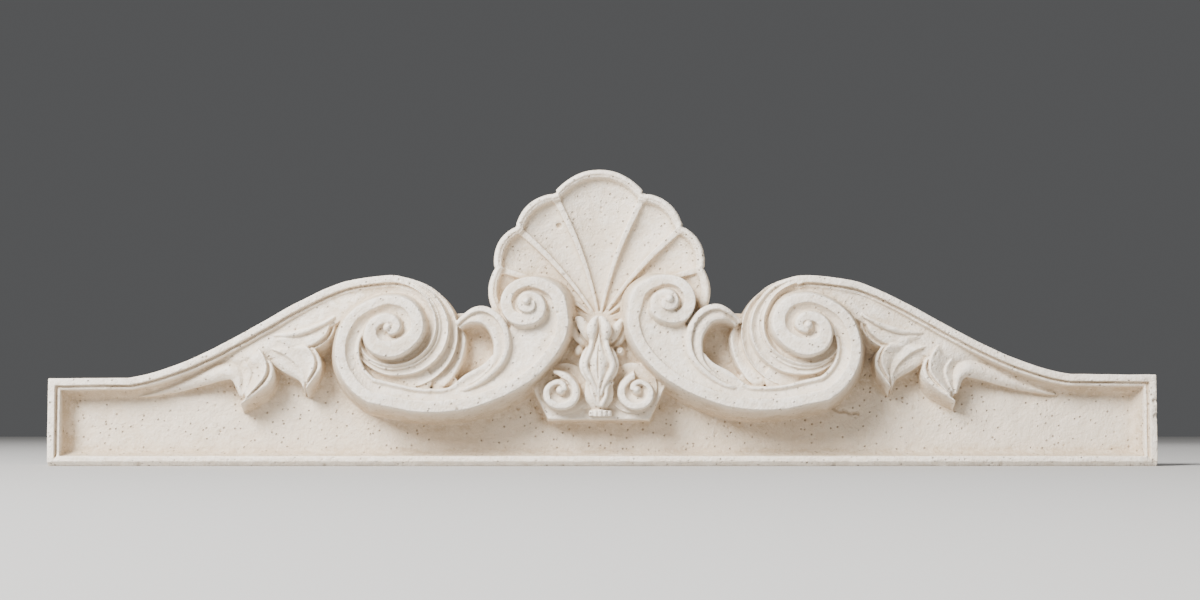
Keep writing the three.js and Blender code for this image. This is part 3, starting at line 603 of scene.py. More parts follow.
@dataclass
class Scroll:
    """The S-shaped band of each half, with its large and its small volute."""

    mirror: Mirror = field(default_factory=Mirror)
    cut: BandCut = field(default_factory=BandCut)
    big_centre: tuple[float, float] = (-227.7, 147.8)
    big_radii: tuple[float, ...] = (6.6, 9.2, 12.7, 13.5, 13.7, 16.4, 23.2, 30, 31.5, 32.2, 37.1,
                                    36.9, 33.2, 36.5, 51.1, 71, 86)
    big_start: float = 270.0
    big_eye: float = 6.0
    big_inner: float = 26.0
    big_first_turn: float = 8.4
    big_opens: tuple[float, float] = (850.0, 110.0)
    big_widens: tuple[float, float] = (700.0, 200.0)
    big_lips: tuple[float, float] = (860.0, 60.0)
    run_unlips: tuple[float, float] = (0.1, 0.25)
    small_last_turn: float = 7.4
    small_narrows: tuple[float, float] = (20.0, 90.0)
    small_leans: tuple[float, float] = (200.0, 50.0)
    turn_tuck: float = 1.5
    foot_sink: float = 12.0
    foot_spread: float = 3.0
    big_borders: tuple[float, ...] = (5, 7, 8, 12, 17, 13, 8, 11.5, 11.5)
    big_heights: tuple[float, ...] = (102, 102, 102, 101, 100, 98, 97, 95, 92)
    run: tuple = ((-205, 59.2), (-183.5, 57.9), (-162.2, 58.9), (-137.7, 63.2), (-104.3, 75.8),
                  (-74.7, 93), (-53.4, 114.3), (-40.4, 135.6), (-36, 155))
    run_inner: tuple = ((-207, 85), (-186.5, 82.6), (-164, 84.5), (-146, 98), (-128, 108),
                        (-118, 118), (-108, 130), (-100, 145), (-92, 160))
    run_height: float = 90.0
    small_centre: tuple[float, float] = (-80.4, 176.1)
    small_radii: tuple[float, ...] = (41.5, 30.5, 25.5, 26, 27.8, 28.2, 25.2, 23.3, 18, 11.6, 8.9,
                                      8.1, 8.9, 10.9, 11.6, 11.2, 7.6)
    small_eye: float = 6.2
    eye_seat: float = 83.0
    eye_base: float = 91.0
    small_borders: tuple[float, ...] = (14, 9, 10.8, 13, 10, 5, 5, 6, 5)
    small_heights: tuple[float, ...] = (90, 91, 93, 95, 97, 98, 99, 100, 100)

    def big_rows(self, degrees: Array) -> Array:
        """The large volute, wound from its eye outwards.

        Its inner edge hides under the next turn in, until the last turn opens into the run.

        Args:
            degrees: Angles from the eye's start, growing outwards.

        Returns:
            The grid of rows.
        """
        at = (degrees - self.big_start) / 45
        radius = along(self.big_radii, at)
        first = at < self.big_first_turn
        last_turn = along(self.big_radii, np.maximum(at - 8, 0)) - self.turn_tuck
        tucked = np.where(first, self.big_eye * 0.4, last_turn)
        inner = mix(tucked, radius - self.big_inner, onset(degrees, self.big_opens))
        height = straight(self.big_heights, at / 2)
        wide = onset(degrees, self.big_widens)
        reach = mix(np.where(first, 3, 6), (height - PANEL) * DRAFT + self.foot_spread, wide)
        foot = mix(height - np.where(first, 12, 26), PANEL - self.foot_sink, wide)
        outer_points = polar(self.big_centre, radius, degrees, 0)[:, :2]
        inner_points = polar(self.big_centre, inner, degrees, 0)[:, :2]
        return self.cut.rows(outer_points, inner_points, straight(self.big_borders, at / 2), height,
                             reach, foot, onset(degrees, self.big_lips))

    def run_rows(self) -> Array:
        """The long run of the band under the volutes.

        Returns:
            The grid of rows, from the large volute to the small one.
        """
        t = np.linspace(0, 1, 110)
        reach = (self.run_height - PANEL) * DRAFT + self.foot_spread
        full = np.ones_like(t)
        return self.cut.rows(curve(self.run, t), curve(self.run_inner, t), 11.5 * full,
                             self.run_height * full, reach * full, (PANEL - self.foot_sink) * full,
                             1 - onset(t, self.run_unlips))

    def small_rows(self, degrees: Array) -> Array:
        """The small volute, wound from the run in to its eye.

        Args:
            degrees: Angles from the run's end, growing inwards.

        Returns:
            The grid of rows.
        """
        at = degrees / 45
        radius = along(self.small_radii, at)
        last = at > self.small_last_turn
        next_turn = along(self.small_radii, np.minimum(at + 8, 16)) - self.turn_tuck
        tucked = np.where(last, self.small_eye * 0.4, next_turn)
        height = straight(self.small_heights, at / 2)
        wide = 1 - onset(degrees, self.small_narrows)
        over = onset(degrees, self.small_leans)
        drafted = (height - PANEL) * DRAFT + self.foot_spread
        reach = mix(np.where(last, 2.5, mix(2, 9, over)), drafted, wide)
        foot = mix(height - np.where(last, 10, mix(50, 22, over)), PANEL - self.foot_sink, wide)
        outer_points = polar(self.small_centre, radius, degrees, 0)[:, :2]
        inner_points = polar(self.small_centre, tucked, degrees, 0)[:, :2]
        return self.cut.rows(outer_points, inner_points, straight(self.small_borders, at / 2), height,
                             reach, foot, 0 * at)

    def bodies(self) -> list[Body]:
        """Both bands, lofted in stretches that overlap by a row, and the four eyes.

        Returns:
            The closed bodies of both halves.
        """
        stretches = [self.big_rows(np.linspace(a, b, n)) for a, b, n in
                     ((270, 540, 70), (540, 810, 90), (810, 975, 60))]
        joint = self.small_rows(np.zeros(1))
        stretches.append(np.concatenate([stretches[-1][-1:], self.run_rows(), joint]))
        stretches += [self.small_rows(np.linspace(a, b, n)) for a, b, n in
                      ((0, 270, 90), (270, 495, 70), (495, 720, 60))]
        out = [body for rows in stretches for body in self.mirror.both(rows)]
        for centre, eye in ((self.big_centre, self.big_eye), (self.small_centre, self.small_eye)):
            for x, z in self.mirror.places(*centre):
                out.append(disc(x, z, eye * 1.5, self.eye_seat))
                out.append(knob(x, z, eye, eye, self.eye_base, DEPTH))
        return out


@dataclass
class Conch:
    """The terraces that step down and out behind the large volute, and the outermost rim."""

    mirror: Mirror = field(default_factory=lambda: Mirror(-6.0, 1.0))
    rim_mirror: Mirror = field(default_factory=Mirror)
    centre: tuple[float, float] = (-225.0, 145.8)
    start: float = 100.0
    end: float = -168.0
    station: float = 30.0
    valley: tuple[float, ...] = (43, 42, 42.5, 40.5, 38, 35, 33, 33, 33, 31)
    rib_a: tuple[float, ...] = (52.4, 50.5, 49.4, 47.5, 44.2, 39.6, 37.5, 38, 38.5, 34)
    foot_a: tuple[float, ...] = (54, 52.3, 51.8, 50.4, 47.3, 43, 41, 41, 40.5, 35.5)
    rib_c: tuple[float, ...] = (56.5, 55.6, 57.8, 60, 58.4, 53.6, 48.8, 46.5, 44, 37.5)
    foot_c: tuple[float, ...] = (57.8, 56.9, 60, 62.6, 61.3, 56, 51, 48.5, 45.5, 39)
    rib_d: tuple[float, ...] = (59.3, 58.4, 63.4, 68.6, 70.3, 68, 63, 57, 51, 43)
    top: tuple[float, ...] = (73, 80, 80, 80, 80, 80)
    crest_cut: tuple[float, ...] = (74, 75.5, 75.5, 73.2, 73.2)
    side: tuple[float, ...] = (79, 88, 81, 85, 73, 78)
    tail: tuple[float, ...] = (82, 87, 82, 84, 77, 79)
    rim: tuple = ((-152, 149), (-148.6, 142), (-147.5, 132), (-150.5, 117), (-157.5, 101),
                  (-168, 87), (-178, 82))
    rim_inner: tuple = ((-166, 150), (-165, 141), (-164, 131), (-167, 119), (-173, 108),
                        (-184, 98), (-194, 92))
    rim_height: float = 66.0
    rim_foot: float = 41.0
    rim_tail: tuple[float, float] = (0.5, 0.4)
    cover_sweep: float = 24.0
    cover_radius: float = 1.5
    cover_height: float = 4.0
    falls: tuple[float, float] = (12.0, 60.0)
    ends: tuple[float, float] = (30.0, 60.0)
    rim_profile: tuple = ((0, 10), (0.25, 7.6), (0.5, 4.6), (0.75, 1.8), (0.92, 0.2), (1, 0.8))
    floors: tuple = ((-210.0, 119.0, 54.0, 66.0), (-198.0, 92.0, 15.0, 76.0),
                     (-167.0, 87.0, 12.0, 68.0))
    sags: tuple[float, ...] = (0, 2.6, 0.4, 2.4, 0.4, 2.2)
    crest_shares: tuple[float, ...] = (0.3, 0.45, 0.84, 0.88, 0.97)
    plain_shares: tuple[float, ...] = (0.3, 0.55, 0.8)
    plain_cut: float = 80.0
    beads: tuple = ((0.16, 2.2), (0.24, 0.6))

    def rows(self) -> Array:
        """Polar rows: every terrace rises in a hollow to its arris and drops behind it.

        From one line to the next the height goes straight, less a sag of four times the share
        times its remainder. Near the start the terraces are covered, so they lie lower.

        Returns:
            The grid of rows, from under the crest round to the tail.
        """
        degrees = np.linspace(self.start, self.end, 190)
        at = (self.start - degrees) / self.station
        lists = (self.valley, self.rib_a, self.foot_a, self.rib_c, self.foot_c, self.rib_d)
        covered = 1 - ease((self.start - degrees) / self.cover_sweep)
        down = onset(self.start - degrees, self.falls)
        tail = onset(-degrees, self.ends)
        radii = [along(values, at) - self.cover_radius * covered for values in lists]
        heights = [mix(mix(top, side, down), last, tail) - self.cover_height * covered
                   for top, side, last in zip(self.top, self.side, self.tail)]

        def around(radius: Array, h: Array) -> Array:
            """A column of points round the terraces' centre."""
            return polar(self.centre, radius, degrees, h)

        columns = [around(np.full_like(at, 15.0), heights[0] - 6)]
        plain = [(share, self.plain_cut) for share in self.plain_shares]
        crests = {1: list(zip(self.crest_shares, self.crest_cut)), 3: plain, 5: plain}
        for k, (radius, height) in enumerate(zip(radii, heights)):
            for share, level in crests.get(k, ()):
                dip = self.sags[k] * 4 * share * (1 - share)
                scooped = mix(heights[k - 1], height, share) - dip
                cut = level - self.cover_height * covered
                columns.append(around(mix(radii[k - 1], radius, share), mix(cut, scooped, down)))
            columns.append(around(radius, height))
            if k == 2:
                for share, rise in self.beads:
                    columns.append(around(mix(radius, radii[3], share), height + rise * down))
        return np.stack(columns, axis=1)

    def rim_rows(self) -> Array:
        """The last rim: a low crowned strip between its inner and outer lines.

        Returns:
            The grid of rows, from the top of the rim to its tail.
        """
        t = np.linspace(0, 1, 60)
        a = curve(self.rim_inner, t)
        b = curve(self.rim, t)
        tail = onset(t, self.rim_tail)
        crown = self.rim_height + 4 * np.sin(np.pi * t) + 6 * tail
        fade = 1 - 0.85 * tail
        columns = [column(*mix(a, b, share).T, crown - drop * fade) for share, drop in self.rim_profile]
        columns.append(column(b[:, 0] + 5, b[:, 1] - 1, self.rim_foot))
        return np.stack(columns, axis=1)

    def bodies(self) -> list[Body]:
        """The terraces and the rims of both halves.

        Returns:
            The closed bodies, with the floors between them.
        """
        floors = [disc(*place, radius, height) for x, z, radius, height in self.floors
                  for place in self.rim_mirror.places(x, z)]
        return self.mirror.both(self.rows()) + self.rim_mirror.both(self.rim_rows()) + floors


@dataclass
class Curl:
    """The curled leaf on the inner side of the scroll, and its round hollow."""

    mirror: Mirror = field(default_factory=Mirror)
    centre: tuple[float, float] = (-129.8, 122.2)
    angles: tuple[float, ...] = (140, 120, 90, 60, 30, 0, -30, -60, -90, -120, -135)
    outer: tuple[float, ...] = (41.5, 43.8, 48.9, 43.9, 35.6, 30.3, 27.6, 28.1, 35, 49, 60)
    groove: tuple[float, ...] = (37.5, 38.9, 42.3, 36.2, 28.2, 23.8, 21.8, 22.7, 28.6, 44, 56)
    inner: tuple[float, ...] = (33.5, 34, 30.6, 21.9, 16.2, 13.8, 15, 18.4, 24.8, 39.9, 52)
    height: float = 91.0
    floor: float = 52.0
    hollow: float = 40.0
    scoop_drop: float = 6.0
    sweep: tuple[float, float] = (132.0, -131.0)
    dips: tuple = ((1, 12.0, (95.0, 45.0)), (-1, 3.0, (60.0, 60.0)), (-1, 9.0, (112.0, 18.0)))
    floor_shift: float = 3.0
    web: tuple[float, float] = (-105.0, 158.0)
    web_radius: float = 8.0
    web_height: float = 60.0

    def rows(self) -> Array:
        """Polar rows: a double arris, then a scoop that falls to the round hollow.

        Returns:
            The grid of rows, from the curl's tip round to its tail.
        """
        degrees = np.linspace(*self.sweep, 160)
        at = np.interp(-degrees, -np.array(self.angles), np.arange(len(self.angles)))
        outer, groove, inner = (along(v, at) for v in (self.outer, self.groove, self.inner))
        low = ease((70 - degrees) / 50)
        reach = mix(0.6, 6, low)
        sink = sum(depth * onset(way * degrees, span) for way, depth, span in self.dips)

        def at_radius(radius: Array, h: Array | float) -> Array:
            """A column of points at a radius, sunk where the leaf dips."""
            return polar(self.centre, radius, degrees, h - sink)

        edges = [(outer, 2.4), (mix(outer, groove, 0.2), 0.6), (mix(outer, groove, 0.7), 0.0),
                 (mix(outer, groove, 0.84), 0.3), (groove, 4.8), (mix(groove, inner, 0.25), 4.4),
                 (mix(groove, inner, 0.6), 3.2), (mix(groove, inner, 0.9), 3.6),
                 (inner, self.scoop_drop)]
        columns = [at_radius(outer + reach, mix(40, 76, low))]
        columns += [at_radius(radius, self.height - drop) for radius, drop in edges]
        for share in np.linspace(0.1, 1, 8):
            fall = np.sin(share * np.pi / 2) ** 1.15
            scoop = mix(self.height - self.scoop_drop, self.floor + 1, fall)
            columns.append(at_radius(inner * mix(1, 0.72, share), scoop))
        columns.append(at_radius(np.full_like(at, 2.0), self.floor))
        return np.stack(columns, axis=1)

    def bodies(self) -> list[Body]:
        """The leaves, the floors of their hollows and the webs that join them to the volutes.

        Returns:
            The closed bodies of both halves.
        """
        out = self.mirror.both(self.rows())
        middle = (self.centre[0] - self.floor_shift, self.centre[1] - self.floor_shift)
        for x, z in self.mirror.places(*middle):
            out.append(disc(x, z, self.hollow, self.floor))
        for x, z in self.mirror.places(*self.web):
            out.append(disc(x, z, self.web_radius, self.web_height))
        return out


@dataclass
class Scallop:
    """The shell between the scrolls: seven scooped lobes between flat ribs inside a rounded rim."""

    centre: tuple[float, float] = (-3.2, 155.5)
    top_radius: float = 165.0
    cusps: tuple[float, ...] = (2, 26.8, 48.6, 70.2, 109.8, 131.4, 153.2, 178)
    cusp_radii: tuple[float, ...] = (0.665, 0.77, 0.833, 0.896, 0.896, 0.833, 0.77, 0.665)
    bulges: tuple[float, ...] = (0.034, 0.041, 0.041, 0.108, 0.041, 0.041, 0.034)
    twists: tuple[float, ...] = (26, 17, 10, 10.5, -10.5, -10, -17, -26)
    front: float = 66.0
    drop: float = 5.5
    rib: float = 6.4
    scoop: float = 6.0
    rib_sink: float = 2.2
    quirk: float = 3.9
    heart: float = 48.0
    rim_profile: tuple = ((0, 5.5), (0.5, 3), (1.8, 0.9), (3.6, 0), (5.2, 0.3), (6.4, 1.9),
                          (7.2, 1.7), (8.2, 2.3), (9, 4))
    inward: tuple[float, ...] = (0.985, 0.95, 0.9, 0.8, 0.7, 0.6, 0.5, 0.4, 0.3, 0.2, 0.12, 0.06)
    scoop_places: tuple[float, ...] = (0.1, 0.75, 0.9, 0.96, 1)
    scoop_shares: tuple[float, ...] = (0.3, 1, 0.75, 0.4, 0.1)

    def rows(self) -> Array:
        """Rows from the rim in to the heart, all round the shell.

        Each lobe bulges by a sine between its cusps and is scooped by the same sine. The ribs
        stand at the cusps as flat strips with a groove at each side.

        Returns:
            The grid of rows, lobe after lobe.
        """
        shares, lobes, ribs = [], [], []
        for lobe in range(7):
            inside = np.linspace(0.04, 0.96, 26 if lobe == 3 else 16)
            shares += [0, 0, 0, *inside, 1, 1, 1]
            ribs += [0.0, 0.85, 1.15, *np.zeros(len(inside)), -1.15, -0.85, 0.0]
            lobes += [lobe] * (len(inside) + 6)
        t, lobe, rib = np.array(shares), np.array(lobes), np.array(ribs)
        cusp = mix(np.take(self.cusps, lobe), np.take(self.cusps, lobe + 1), t)
        base = mix(np.take(self.cusp_radii, lobe), np.take(self.cusp_radii, lobe + 1), t)
        arch = np.clip(np.sin(np.pi * t), 0, 1)
        radius = self.top_radius * (base + np.take(self.bulges, lobe) * arch**0.88)
        twist = mix(np.take(self.twists, lobe), np.take(self.twists, lobe + 1), t)
        scoop = self.scoop * arch**0.6
        beside = np.where(np.abs(rib) > 1, self.quirk, self.rib_sink)
        on_rib = np.where((np.abs(rib) < 1) & ((t == 0) | (t == 1)), 0.0, beside)

        def at(distance: Array, h: Array | float) -> Array:
            """A column at a distance from the shell's heart, swung as its lobes curve.

            Args:
                distance: Distances from the heart.
                h: Heights.

            Returns:
                The column of points.
            """
            share = distance / radius
            half_rib = self.rib * (0.22 + 0.36 * share)
            sideways = np.degrees(rib * half_rib / np.maximum(distance, 8))
            return polar(self.centre, distance, 180 - (cusp + twist * (1 - share) + sideways), h)

        columns = [at(radius - inset, self.front - drop) for inset, drop in self.rim_profile]
        inner = radius - self.rim_profile[-1][0]
        for share in self.inward:
            sunk = on_rib + scoop * np.interp(share, self.scoop_places, self.scoop_shares)
            columns.append(at(inner * share, mix(self.heart, self.front - self.drop, share) - sunk))
        return np.stack(columns, axis=1)

    def bodies(self) -> list[Body]:
        """The whole shell as one loft."""
        return [loft(self.rows())]


@dataclass
class Leaf:
    """The acanthus leaf on each neck: lobes drawn by lines that run from their roots to their tips.

    Each lobe is a sheet through its lines, given as points (x, z, h), from its soft left flank
    over a crease to the front arris, down a groove to the outer bead and down the wall.
    """

    mirror: Mirror = field(default_factory=Mirror)
    first: tuple = (
        ((-425, 110, 28), (-415, 104, 26), (-405, 95, 26), (-397, 84, 26), (-392, 71, 26)),
        ((-412.6, 114, 40), (-403.9, 107, 44), (-397.4, 97, 48), (-392, 85.5, 52), (-389.6, 75, 55)),
        ((-395.6, 119, 44), (-387, 113.4, 57), (-380.4, 103, 58), (-381.9, 91.8, 58), (-387.2, 80, 58)),
        ((-394, 118, 43), (-385.4, 112.4, 55.5), (-378.4, 102.6, 56), (-379.9, 91.4, 56.5),
         (-385.6, 79, 57.5)),
        ((-377.3, 130.4, 54), (-368, 123.6, 66), (-362.2, 108.9, 66), (-365.5, 94.9, 66),
         (-383.2, 74.6, 64)),
        ((-374.4, 129, 40), (-365, 121, 57), (-360.2, 108, 57), (-363.4, 93.4, 57), (-384.4, 72.6, 56)),
        ((-370.6, 125.6, 40), (-360.8, 113.4, 62), (-357.6, 101, 63), (-365.8, 87.6, 63),
         (-388, 69.8, 61)),
        ((-367.5, 123.1, 38), (-357.4, 111.8, 61), (-355, 99.4, 62), (-362.6, 86.2, 62),
         (-390.6, 66.6, 60)),
        ((-363.9, 117.9, 26), (-354, 99.3, 26), (-355, 82.9, 26), (-367.2, 67.6, 26),
         (-392.8, 55.6, 26)),
    )
    second: tuple = (
        ((-374, 112, 26), (-362, 104, 26), (-344.3, 95.5, 26), (-330.1, 87.9, 26), (-323.8, 73, 26)),
        ((-370, 122, 42), (-359.8, 112.2, 54), (-343.8, 101.4, 54), (-328.1, 92.4, 54),
         (-323.4, 84.2, 55)),
        ((-368.2, 124, 44), (-358, 115, 56), (-343, 106, 57), (-328.5, 97, 57), (-322.6, 87, 57)),
        ((-372, 126, 47), (-354, 122.6, 58), (-341, 116.7, 58.5), (-328.5, 104, 58.5), (-322, 90, 58)),
        ((-374, 130, 53), (-353, 124.8, 63), (-340, 118.5, 62.5), (-326.9, 105.6, 61), (-321.4, 91, 59)),
        ((-358.6, 136, 52), (-338.3, 128, 61), (-328.2, 119, 60), (-321.6, 108, 59.5),
         (-319.2, 94, 58.5)),
        ((-338.3, 139, 44), (-319.5, 129.3, 66), (-311.4, 118.6, 66), (-311.2, 106.2, 66),
         (-318.6, 92.8, 64)),
        ((-335, 137.6, 38), (-317, 127.8, 57), (-309.4, 117, 57), (-309.4, 104.8, 57),
         (-317.8, 90.4, 56)),
        ((-329.5, 136, 39), (-314.2, 127.5, 62), (-307.4, 116, 63), (-307.4, 104, 63),
         (-318.6, 86.4, 61)),
        ((-326, 136.1, 38), (-311.6, 127.5, 61), (-304.6, 115.8, 62), (-304.6, 103.4, 62),
         (-320.4, 83, 60)),
        ((-317.9, 132.2, 28), (-303.2, 113, 26), (-303.2, 99.3, 26), (-311.9, 81.8, 26),
         (-321.2, 70.9, 26)),
    )
    third: tuple = (
        ((-384, 132, 40), (-352, 146, 56), (-325.9, 150, 58), (-308, 156.8, 60), (-294, 164, 56)),
        ((-382, 131, 42), (-350, 142, 62), (-325.9, 145.6, 64), (-307, 152.6, 66), (-293.5, 160.4, 67)),
        ((-381, 130, 42), (-350, 139.6, 60), (-327, 142.2, 61), (-308.6, 149, 63), (-294.4, 159.6, 66)),
        ((-380, 128, 42), (-350, 136, 62), (-330, 138.6, 63), (-311.8, 144.6, 65), (-295.4, 158.4, 67)),
        ((-372, 124, 44), (-340, 128, 60), (-317.5, 129.3, 64), (-298.7, 141.2, 68),
         (-292.4, 159.6, 68)),
        ((-370, 122, 32), (-338, 125, 54), (-315.5, 127.6, 56), (-296.8, 139.4, 59), (-290.6, 157, 60)),
        ((-366, 120, 32), (-335, 122, 57), (-311.8, 126.4, 61), (-293.4, 139.4, 64), (-285.8, 163, 66)),
        ((-364, 118, 40), (-333, 120, 56), (-309.2, 126.6, 58), (-291.4, 140.4, 61),
         (-283.9, 165.8, 63)),
        ((-360, 114, 30), (-330, 114, 30), (-304.4, 118.3, 30), (-290.5, 129.2, 32), (-281, 152, 36)),
    )

    body: tuple = (
        ((-447, 106.4, 44), (-398.5, 128.5, 54), (-350, 155, 59), (-305, 179, 66),
         (-262, 193, 69), (-232, 196, 62)),
        ((-440, 100, 38), (-396, 121, 55), (-350, 146, 60), (-302, 170, 67), (-262, 183, 70),
         (-232, 187, 62)),
        ((-434, 93, 32), (-388, 115, 57), (-345, 135, 61), (-298, 162, 67), (-262, 174, 70),
         (-236, 178, 62)),
        ((-430, 86, 26), (-384, 108, 53), (-338, 124, 60), (-294, 150, 66), (-266, 164, 70),
         (-245, 170, 64)),
        ((-428, 80, 24), (-380, 100, 26), (-333, 116, 30), (-290, 138, 34), (-268, 152, 50),
         (-250, 160, 60)),
    )

    stem: tuple = ((-506, 75), (-489.7, 78.1), (-459.3, 86.8), (-433.2, 95.5), (-415.8, 101),
                   (-402.7, 102.4), (-395, 95.5), (-392.4, 84.7), (-390.7, 76))
    stem_widths: tuple[float, ...] = (2, 6, 12, 16, 18, 18, 14, 9, 5)
    stem_fronts: tuple[float, ...] = (34, 38, 44, 50, 54, 57, 57, 56, 55)
    ridge: tuple = ((-360, 141), (-354.1, 141.1), (-340.6, 141.7), (-328.5, 143.5), (-317.7, 146.5),
                    (-305.6, 151.2), (-294.9, 156.6), (-288, 161))
    ridge_widths: tuple[float, ...] = (2, 4, 6, 6.6, 6.4, 5.6, 4.4, 3)
    ridge_fronts: tuple[float, ...] = (56, 61.5, 66, 68, 69.5, 71, 72, 70)

    @staticmethod
    def sheet(lines: Sequence, count: int = 60, between: int = 3) -> Array:
        """A grid through the lines: smooth along each line, straight from line to line.

        Args:
            lines: Lines of points (x, z, h), from root to tip.
            count: Rows along each line.
            between: Steps from a line to the next.

        Returns:
            The grid of rows.
        """
        t = np.linspace(0, 1, count)
        columns = np.stack([curve(line, t) for line in lines], axis=1)
        fine = np.arange((len(lines) - 1) * between + 1) / between
        low = np.minimum(fine.astype(int), len(lines) - 2)
        share = (fine - low)[None, :, None]
        return mix(columns[:, low], columns[:, low + 1], share)

    def bodies(self) -> list[Body]:
        """The body, the three lobes, the ridge and the rolled stem of both leaves.

        Returns:
            The closed bodies of both halves.
        """
        out = []
        for lines in (self.body, self.first, self.second, self.third):
            out += self.mirror.both(self.sheet(lines))
        for ridge in zip(*(self.mirror.places(x, z) for x, z in self.ridge)):
            out.append(strand(ridge, self.ridge_widths, self.ridge_fronts, PANEL, 2.4))
        for stem in zip(*(self.mirror.places(x, z) for x, z in self.stem)):
            out.append(strand(stem, self.stem_widths, self.stem_fronts, ROOT, 5, 90))
        return out


@dataclass
class Fleuron:
    """The small plinth, its pair of volutes, and the bud that stands between them."""

    centre: float = -3.8
    lean: float = 0.3
    plinth_front: float = 60.0
    plinth_bottom: float = 50.7
    plinth_top: float = 94.0
    half_bottom: float = 54.3
    half_top: float = 75.5
    spread: float = 4.0
    disc_x: float = 36.0
    disc_z: float = 84.0
    disc_radius: float = 27.0
    disc_front: float = 63.0
    pair_x: float = 40.6
    pair_z: float = 81.5
    pair_radii: tuple[float, ...] = (25, 19.5, 17.2, 18.9, 20.3, 19.9, 19.9, 17.1, 12.4, 9.9, 7.6, 5.6)
    pair_front: float = 80.0
    pair_eye: float = 5.6
    pair_starts: tuple[float, float] = (112.0, 82.0)
    cut: BandCut = field(default_factory=lambda: BandCut(fall=7.0, lip=0.5))
    bed_places: tuple[float, ...] = (62, 80, 100, 113, 130, 150, 166)
    bed_halves: tuple[float, ...] = (30, 44, 52, 48, 40, 28, 14)
    bed_front_places: tuple[float, ...] = (62, 128, 148, 158, 166)
    bed_fronts: tuple[float, ...] = (64, 62, 60, 55, 46)
    pod_places: tuple[float, ...] = (84, 89, 95, 101, 107, 113, 119, 126, 133, 142)
    pod_halves: tuple[float, ...] = (0.6, 3.4, 6.4, 9, 10.8, 11.4, 9.4, 6, 3.2, 0.8)
    pod_front: float = 87.0
    pod_veins: tuple = ((-1, 7), (-0.85, 3.8), (-0.5, 1.2), (-0.24, 0.2), (-0.12, 3.2), (-0.02, 3.4),
                        (0.08, 0), (0.5, 1.4), (0.85, 4.2), (1, 7))
    core_places: tuple[float, ...] = (57, 64, 71, 78, 84, 95, 107, 118, 131, 145, 158)
    core_halves: tuple[float, ...] = (7, 9.6, 14.5, 15.6, 15, 13.6, 17, 14.6, 9, 11, 3)
    core_front_places: tuple[float, ...] = (57, 64, 71, 84, 95, 158)
    core_fronts: tuple[float, ...] = (66, 73, 75.5, 76, 80, 80)
    paired: tuple[Strip, ...] = (
        Strip(((1.2, 161), (4.6, 156), (7.2, 149), (7.8, 143), (6.6, 137), (5.8, 130)),
              (3, 8, 11, 11, 7.6, 3), (80, 85, 88, 88, 86, 82), 4),
        Strip(((10.5, 150), (9.6, 143), (7.8, 136), (8.2, 129), (10.8, 121), (13.8, 113),
               (14.8, 107), (12.2, 100), (8.4, 93), (4.8, 86), (2, 76)),
              (3, 4.6, 5.4, 5.8, 6.2, 6.6, 6.6, 6.2, 5.4, 4.4, 3.2),
              (78, 82, 84, 86, 87, 87, 87, 86, 85, 83, 79), 2.6, 90),
        Strip(((12, 128), (16.4, 119), (19, 109), (17, 100), (12, 92), (9.6, 84)),
              (3, 4.4, 4.4, 4.2, 4, 3), (74, 79, 80, 79, 77, 74)),
    )
    single: tuple[Strip, ...] = (
        Strip(((-0.2, 90), (-0.4, 82), (-0.4, 72), (0, 63)),
              (2.4, 3.4, 3.2, 4.4), (82, 81, 78, 74), 1.5),
        Strip(((2.5, 64), (4.4, 68.4), (7.7, 76.3), (8.4, 84.3), (12, 89.4), (15.4, 88.6)),
              (4, 4.4, 4, 3.8, 3.6, 3), (76, 79, 80, 81, 80, 78), 1.8),
        Strip(((-9.6, 93), (-8.2, 82), (-5.6, 73), (-2, 65)),
              (3.4, 3.6, 3.6, 3.4), (79, 79, 78, 75), 1.8),
    )
    side_leaves: tuple[Strip, ...] = (
        Strip(((-10.5, 132), (-16, 141), (-20.5, 150), (-24.5, 156.5), (-29.5, 158)),
              (7, 10, 11, 9, 6), (70, 74, 75, 74, 71), 3.5),
        Strip(((-13.5, 127), (-22, 134), (-29, 142), (-31.5, 151), (-31, 158)),
              (5, 8, 8, 7, 4), (64, 68, 69, 69, 66), 3),
        Strip(((2, 131), (8.6, 136), (13.2, 143), (17, 151), (21, 157.5)),
              (6, 9, 10, 9, 5), (70, 74, 75, 75, 71), 3.5),
        Strip(((7, 126), (15, 131), (20.6, 138), (22.8, 147), (22.5, 155)),
              (5, 7, 7, 6, 4), (62, 66, 67, 67, 64), 3),
    )
    balls: tuple = ((-25.2, 124, 8.8, 9.6, 34, 68), (-25.2, 124.5, 5.2, 6.4, 60, 70.6),
                    (19, 123.2, 7.6, 8, 34, 73))
    collar_x: float = -2.0
    collar_ribs: int = 5

    def plinth(self) -> Body:
        """The plinth: its outline at the front, and spread a little at the ground.

        Returns:
            The closed plinth.
        """

        def outline(grow: float) -> Array:
            """The four corners, moved out by some millimetres.

            Args:
                grow: How far the corners move out.

            Returns:
                Four points (x, z).
            """
            return np.array([
                [self.centre - self.half_top - grow, self.plinth_top],
                [self.centre - self.half_bottom - grow * 0.4, self.plinth_bottom - grow],
                [self.centre + self.half_bottom + grow * 0.4, self.plinth_bottom - grow],
                [self.centre + self.half_top + grow, self.plinth_top],
            ])

        return prism(outline(self.spread), outline(0), PANEL - 2, self.plinth_front)

    @staticmethod
    def mound(middle: float, z: Array, half: Array, front: Array, crown: float) -> Array:
        """Rows up the wall whose height falls to each side by the crown times the share squared."""
        columns = [column(middle + half * s, z, front - crown * s * s) for s in np.linspace(-1, 1, 11)]
        return np.stack(columns, axis=1)

